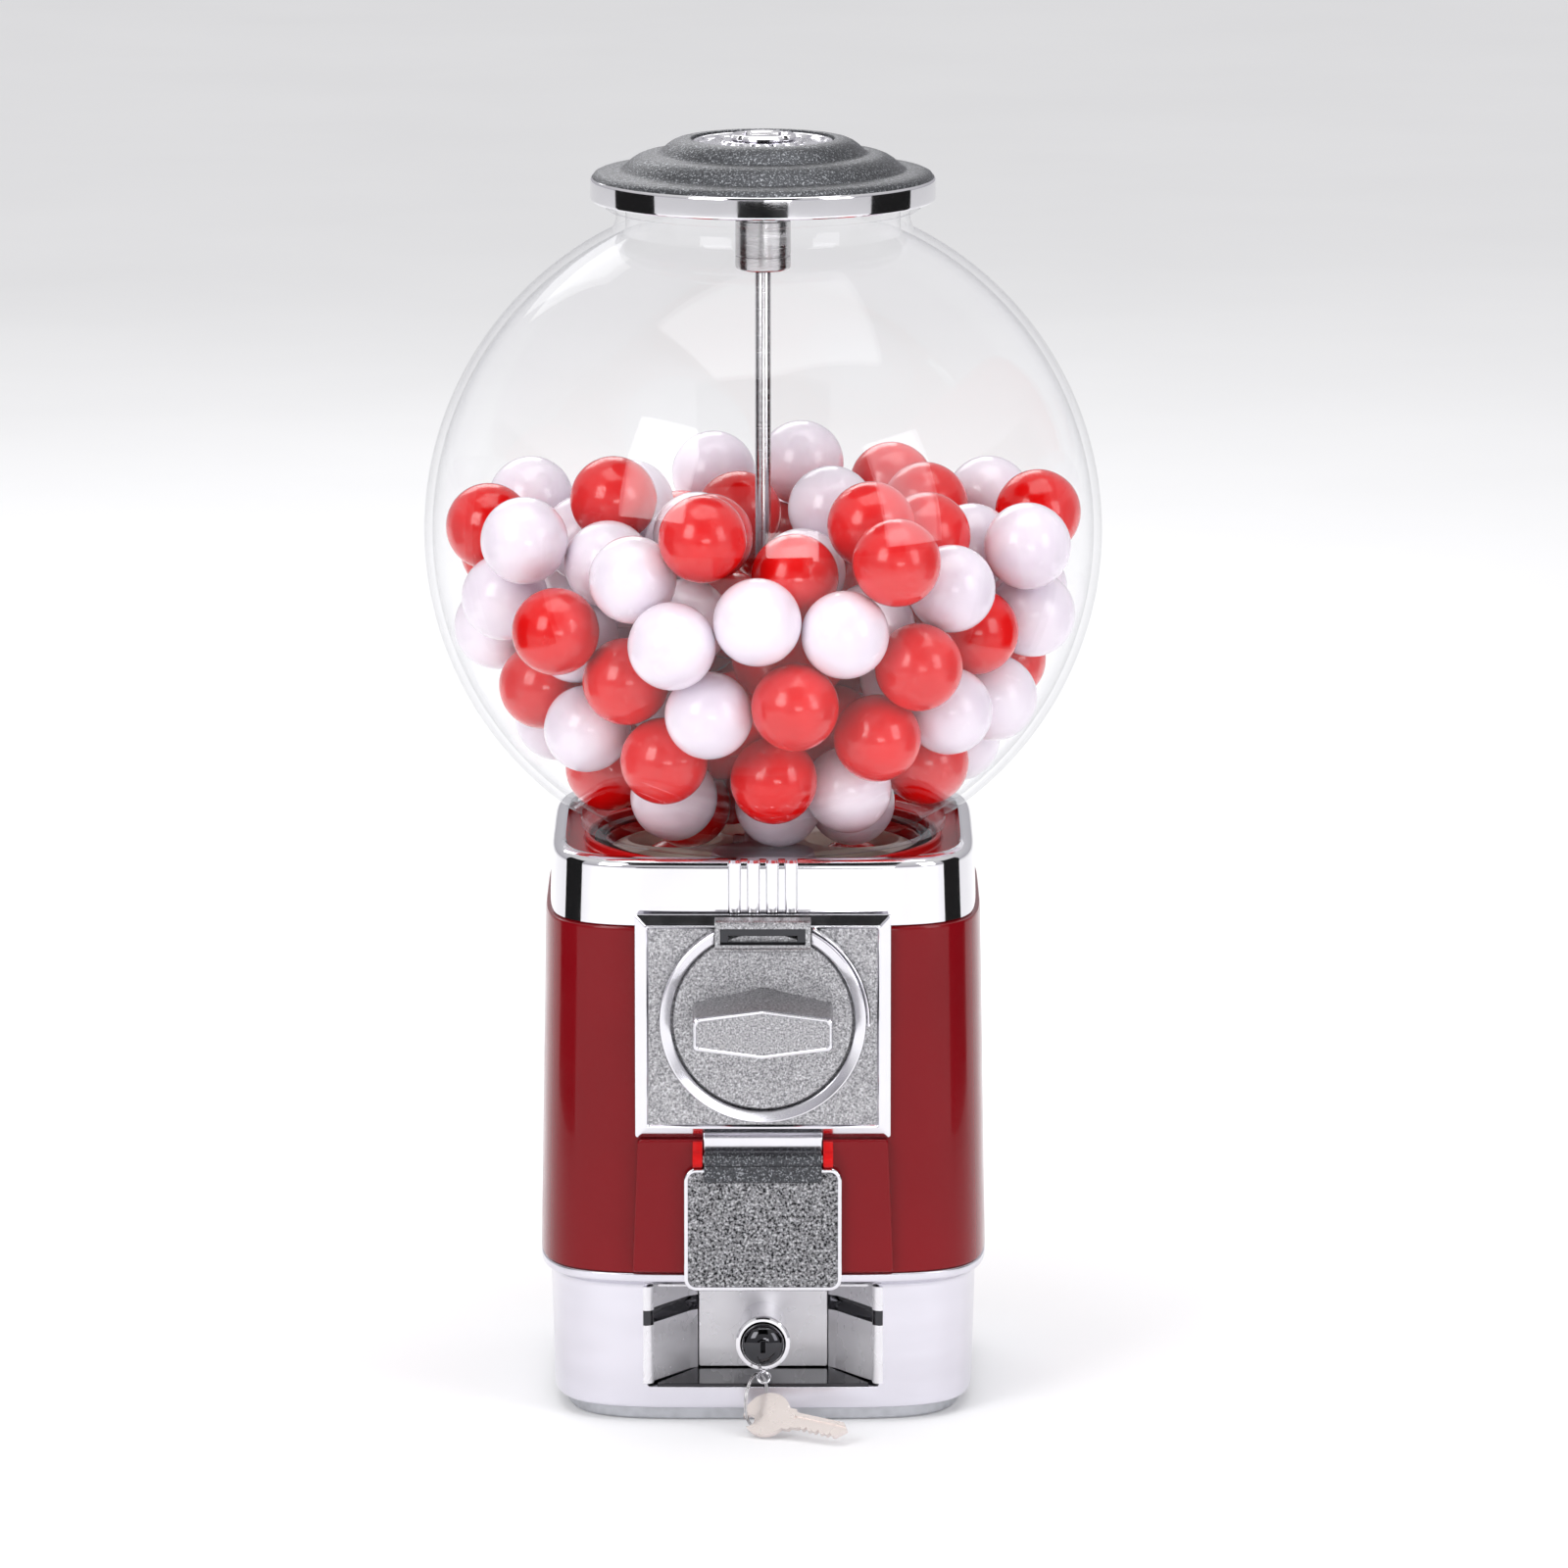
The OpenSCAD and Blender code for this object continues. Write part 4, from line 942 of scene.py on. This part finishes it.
def make_hood():
    low, high = corners("coin_hood")
    back = high.y
    side = [(back, low.z + 0.1), (low.y + 0.9, low.z), (low.y + 0.1, low.z + 0.35), (low.y, low.z + 0.7),
            (low.y + 0.3, low.z + 1.15), (low.y + 1.3, low.z + 1.4), (low.y + 1.4, high.z - 1.5),
            (low.y + 1.9, high.z - 0.4), (low.y + 2.9, high.z), (back, high.z)]
    loops = [[(x, y, z) for y, z in side] for x in (low.x, high.x)]
    hood = new_object("coin_hood_casting", *stack(loops), ["granular_fine"])
    # The mouth's and slot's cut walls are black as painted shade inside the coin slot.
    carve(hood, block("mouth_cutter", (-15.4, low.y - 3, 181.6), (15.4, back - 4.8, 187.4),
                      ["black_chrome"]))
    carve(hood, block("slot_cutter", (-12.5, low.y - 3, 182.2), (12.5, back + 1, 184.4),
                      ["black_chrome"]))
    disc_high = corners("handle_knob")[1]
    room = disc_high.x + 0.4
    y0, y1 = disc_high.y - 2.9, back + 1
    carve(hood, lathe("disc_cutter", [(0, y1), (room, y1), (room, y0), (0, y0)], ["granular_fine"], "Y",
                      (0, 0, SHAFT_Z), 96, closed=False))
    bevel(hood, 0.35, 3, angle=40)
    piece(hood, "cabinet", "granular_metal", "coin_hood")


def grip_outline(half, end, middle):
    return rounded([(-half, -end), (0, -middle), (half, -end), (half, end), (0, middle), (-half, end)],
                   1.7, 4)


def make_handle():
    low, high = corners("handle_knob")
    centre_z = (low.z + high.z) / 2
    back = high.y
    face = back - 2.4
    radius = high.x
    disc = [(0, back), (radius - 0.3, back), (radius, back - 0.3), (radius, face + 0.5),
            (radius - 0.5, face), (0, face)]
    plate = lathe("handle_disc", disc, ["granular_fine"], "Y", (0, 0, centre_z), 160, closed=False)
    piece(plate, "handle", "granular_metal", "handle_knob")
    tip = low.y
    rings = [(25.5, 6.6, 12.7, face + 0.4), (25.45, 6.5, 12.3, face - 0.6), (25.4, 6.3, 11.5, face - 5.0),
             (25.35, 6.1, 10.2, face - 14.0), (25.3, 5.95, 9.1, tip + 1.6), (25.0, 5.65, 8.8, tip + 0.35),
             (24.6, 5.25, 8.4, tip), (24.2, 4.85, 8.0, tip), (23.9, 4.55, 7.7, tip + 0.35)]
    loops = [[(x, y, centre_z + z) for x, z in grip_outline(half, end, middle)]
             for half, end, middle, y in rings]
    verts, faces = stack(loops)
    count = len(loops[0])
    slots = [0] * len(faces)
    for row in (4, 5, 6, 7):
        for i in range(count):
            slots[row * count + i] = 1
    grip = new_object("handle_grip", verts, faces, ["granular_fine", "polished_edge"], slots)
    piece(grip, "handle", "granular_metal")


# ---------------------------------------------------------------- chute door


def make_door():
    low, high = corners("chute_door")
    pin_low, pin_high = corners("door_pin")
    hinge_y, hinge_z = (pin_low.y + pin_high.y) / 2, (pin_low.z + pin_high.z) / 2
    back, thick = hinge_y + 2.2, 2.5
    front = back - thick
    x1, z0, z1 = high.x, low.z, 97.7
    inset = [(0.5, back), (0, back - 0.4), (0, front + 0.5), (0.25, front + 0.15), (0.6, front),
             (1.3, front + 0.05), (1.5, front + 0.35)]
    loops = [[(x, y, z) for x, z in rounded(rectangle(-x1 + d, z0 + d, x1 - d, z1 - d), 4.4 - d, 8)]
             for d, y in inset]
    verts, faces = stack(loops)
    slots = [0] * len(faces)
    slots[-1] = 1
    door = new_object("chute_door_plate", verts, faces, ["polished_edge", "granular_coarse"], slots)
    piece(door, "door", "granular_metal", "chute_door")
    half, r = 21.4, 3.0
    roll = [(pin_high.z - hinge_z + 0.1, -half), (r - 0.4, -half), (r, -half + 0.4), (r, half - 0.4),
            (r - 0.4, half), (pin_high.z - hinge_z + 0.1, half)]
    steps = 48
    loops = [[(x, hinge_y + radius * math.cos(2 * math.pi * i / steps),
               hinge_z + radius * math.sin(2 * math.pi * i / steps)) for i in range(steps)]
             for radius, x in roll]
    knuckle = new_object("chute_door_knuckle", *stack(loops, closed=True), ["granular_dark"])
    piece(knuckle, "door", "granular_metal")
    strap_low, strap_front = 92.6, front - 1.4
    side = [(front + 0.4, strap_low), (strap_front + 0.5, strap_low), (strap_front, strap_low + 0.6),
            (strap_front, hinge_z - 2.2), (hinge_y - 0.2, hinge_z - 1.6), (back - 0.4, hinge_z - 1.6),
            (back - 0.4, z1 - 1.2), (front + 0.4, z1 - 1.2)]
    loops = [[(x, y, z) for y, z in side] for x in (-half, half)]
    strap = new_object("chute_door_strap", *stack(loops), ["granular_dark"])
    bevel(strap, 0.3, 2)
    piece(strap, "door", "granular_metal")


# ---------------------------------------------------------------- lock, ring and key


def make_lock():
    plug_low, plug_high = corners("lock_plug")
    centre_z = (plug_low.z + plug_high.z) / 2
    collar_y = -84.0
    body = [(5.06, collar_y + 0.6), (7.9, collar_y + 0.3), (8.4, collar_y), (9.3, collar_y + 0.1),
            (9.9, collar_y + 0.6), (10.1, collar_y + 1.4), (10.0, collar_y + 3.2), (9.4, collar_y + 4.0),
            (8.6, collar_y + 4.4), (8.6, -40.6), (8.2, -40.0), (5.06, -40.0)]
    barrel = lathe("lock_barrel", body, ["chrome"], "Y", (0, 0, centre_z), 96)
    piece(barrel, "drawer", "chrome", "lock_body")
    tip = plug_low.y
    dome = [(0, tip), (2.4, tip + 0.1), (4.4, tip + 0.55), (6.0, tip + 1.35), (7.1, tip + 2.4),
            (7.6, tip + 3.5), (7.7, tip + 4.3), (7.5, collar_y - 0.35), (5.0, collar_y - 0.3),
            (5.0, -38.9), (4.7, -38.6), (0, -38.6)]
    # The dome is black as a painted dark reflection, for the darkness the polished dome shows; the keyway cut
    # takes the same black.
    plug = lathe("lock_dome", dome, ["black_chrome"], "Y", (0, 0, centre_z), 96, closed=False)
    carve(plug, block("keyway_cutter", (-0.9, tip - 3, centre_z - 2.2), (0.9, collar_y + 6, centre_z + 2.2),
                      ["black_chrome"]))
    piece(plug, "lock_plug", "chrome", "lock_plug")


def torus(name, centre, turn, radius, wire, material, steps=96, sides=20):
    """A wire ring: centre in millimetres, turn a rotation matrix that takes +Z to its axis."""
    loops = []
    for i in range(steps):
        a = 2 * math.pi * i / steps
        loop = []
        for k in range(sides):
            b = 2 * math.pi * k / sides
            r = radius + wire * math.cos(b)
            point = Vector((r * math.cos(a), r * math.sin(a), wire * math.sin(b)))
            loop.append(Vector(centre) + turn @ point)
        loops.append(loop)
    return new_object(name, *stack(loops, closed=True), [material])


def make_ring_and_key():
    joints = {j["name"]: j for j in frame["joints"]}
    eye = Vector(joints["key_ring_swing"]["pos_m"]) / MM
    hole = Vector(joints["key_swing"]["pos_m"]) / MM
    ring_axis = -Vector(joints["key_ring_swing"]["axis"])
    key_axis = Vector(joints["key_swing"]["axis"])
    yaw = math.atan2(ring_axis.y, ring_axis.x)
    eye_turn = Matrix.Rotation(math.radians(45), 3, "X")
    loop = torus("lock_eye", eye, eye_turn, 2.2, 0.6, "chrome", 48, 16)
    piece(loop, "drawer", "chrome")
    stem_profile = [(0, -0.2), (0.7, 0.0), (0.75, 2.4), (1.2, 3.0), (0, 3.2)]
    stem = lathe("lock_eye_stem", stem_profile, ["chrome"], "Z", (eye.x, eye.y + 1.6, eye.z + 1.5), 24,
                 closed=False)
    piece(stem, "drawer", "chrome")
    ring_low, ring_high = corners("key_ring")
    centre = (ring_low + ring_high) / 2
    turn = Matrix.Rotation(yaw, 3, "Z") @ Matrix.Rotation(math.radians(90), 3, "Y")
    radius, wire, half_pitch = 9.6, 0.34, 0.31
    first = torus("split_ring_front", centre - ring_axis * half_pitch, turn, radius, wire, "steel", 128, 16)
    piece(first, "key_ring", "steel", "key_ring")
    second = torus("split_ring_back", centre + ring_axis * half_pitch, turn, radius, wire, "steel", 128, 16)
    piece(second, "key_ring", "steel")

    thick, bow_r, bow = 2.0, 8.9, Vector((6.4, 3.6))
    tilt = Matrix.Rotation(KEY_TILT, 2)
    blade = [(5, 4.4), (10.6, 4.4), (11.0, 3.4), (12.3, 3.2), (30.6, 3.2), (33, 0.5), (29.4, -3.1)]
    for i, deep in enumerate([0.9, 0.4, 1.1, 0.5, 1.2, 0.7]):
        x = 27.6 - 2.5 * i
        blade += [(x + 0.7, -3.2), (x, -3.2 + deep), (x - 0.6, -3.2 + deep), (x - 1.2, -3.2)]
    blade += [(12.3, -3.2), (11.0, -3.4), (10.6, -4.4), (5, -4.4)]
    outline = [tilt @ Vector(p) + bow for p in blade]
    flat = [[(x, y, h) for x, y in outline] for h in (-thick / 2, thick / 2)]
    key = new_object("key_blank", *stack(flat), ["key_nickel"])
    disc = [(0, -thick / 2), (bow_r, -thick / 2), (bow_r, thick / 2), (0, thick / 2)]
    carve(key, lathe("key_bow", disc, ["key_nickel"], "Z", (bow.x, bow.y, 0), 96, closed=False), "UNION")
    hole_cut = lathe("key_hole_cutter", [(0, -3), (2.5, -3), (2.5, 3), (0, 3)], ["key_nickel"], "Z",
                     (0, 0, 0), 48, closed=False)
    carve(key, hole_cut)
    groove = block("groove_cutter", (17.6, 3.9, thick / 2 - 0.5), (38.5, 5.2, thick / 2 + 2), ["key_nickel"])
    groove.data.transform(Matrix.Translation((bow.x * MM, bow.y * MM, 0))
                          @ Matrix.Rotation(KEY_TILT, 4, "Z")
                          @ Matrix.Translation((-bow.x * MM, -bow.y * MM, 0)))
    carve(key, groove)
    bevel(key, 0.22, 2, angle=50)
    side = ring_axis
    up = key_axis.cross(side)
    place = Matrix((
        (side.x, up.x, key_axis.x, hole.x * MM),
        (side.y, up.y, key_axis.y, hole.y * MM),
        (side.z, up.z, key_axis.z, hole.z * MM),
        (0, 0, 0, 1),
    ))
    key.data.transform(place)
    piece(key, "key", "key_nickel", "key")


# ---------------------------------------------------------------- carried-over nodes


def dress_nodes():
    """Gives every CAD node that still shows its material, softened edges and smooth curves."""
    slots = {s["node"]: s["material_slot"] for s in frame["record"]["subparts"]}
    fine = {"ring_gear": 0.15, "drive_pinion": 0.15, "ratchet_wheel": 0.15, "pawl_spring": 0.0,
            "base_plate": 0.6, "dispensing_wheel": 0.7, "coin_wheel": 0.25}
    for node, obj in frame["nodes"].items():
        obj.data.materials.clear()
        obj.data.materials.append(MATERIALS[slots[node]])
        weld = obj.modifiers.new("weld", "WELD")
        weld.merge_threshold = 0.00001
        width = fine.get(node, 0.3)
        if width:
            edge = obj.modifiers.new("soft_edges", "BEVEL")
            edge.width = width * MM
            edge.segments = 2
            edge.limit_method = "ANGLE"
            edge.angle_limit = math.radians(40)


make_base()
make_recess()
make_drawer_front()
make_body()
make_band()
make_hopper()
make_globe()
make_balls("balls_red", "gum_red", "cabinet", "gumballs_red")
make_balls("balls_white", "gum_white", "cabinet", "gumballs_white")
make_balls("wheel_balls", "gum_red", "dispenser", "gumballs_wheel")
make_lid()
make_coin_plate()
make_bezel()
make_hood()
make_handle()
make_door()
make_lock()
make_ring_and_key()
dress_nodes()
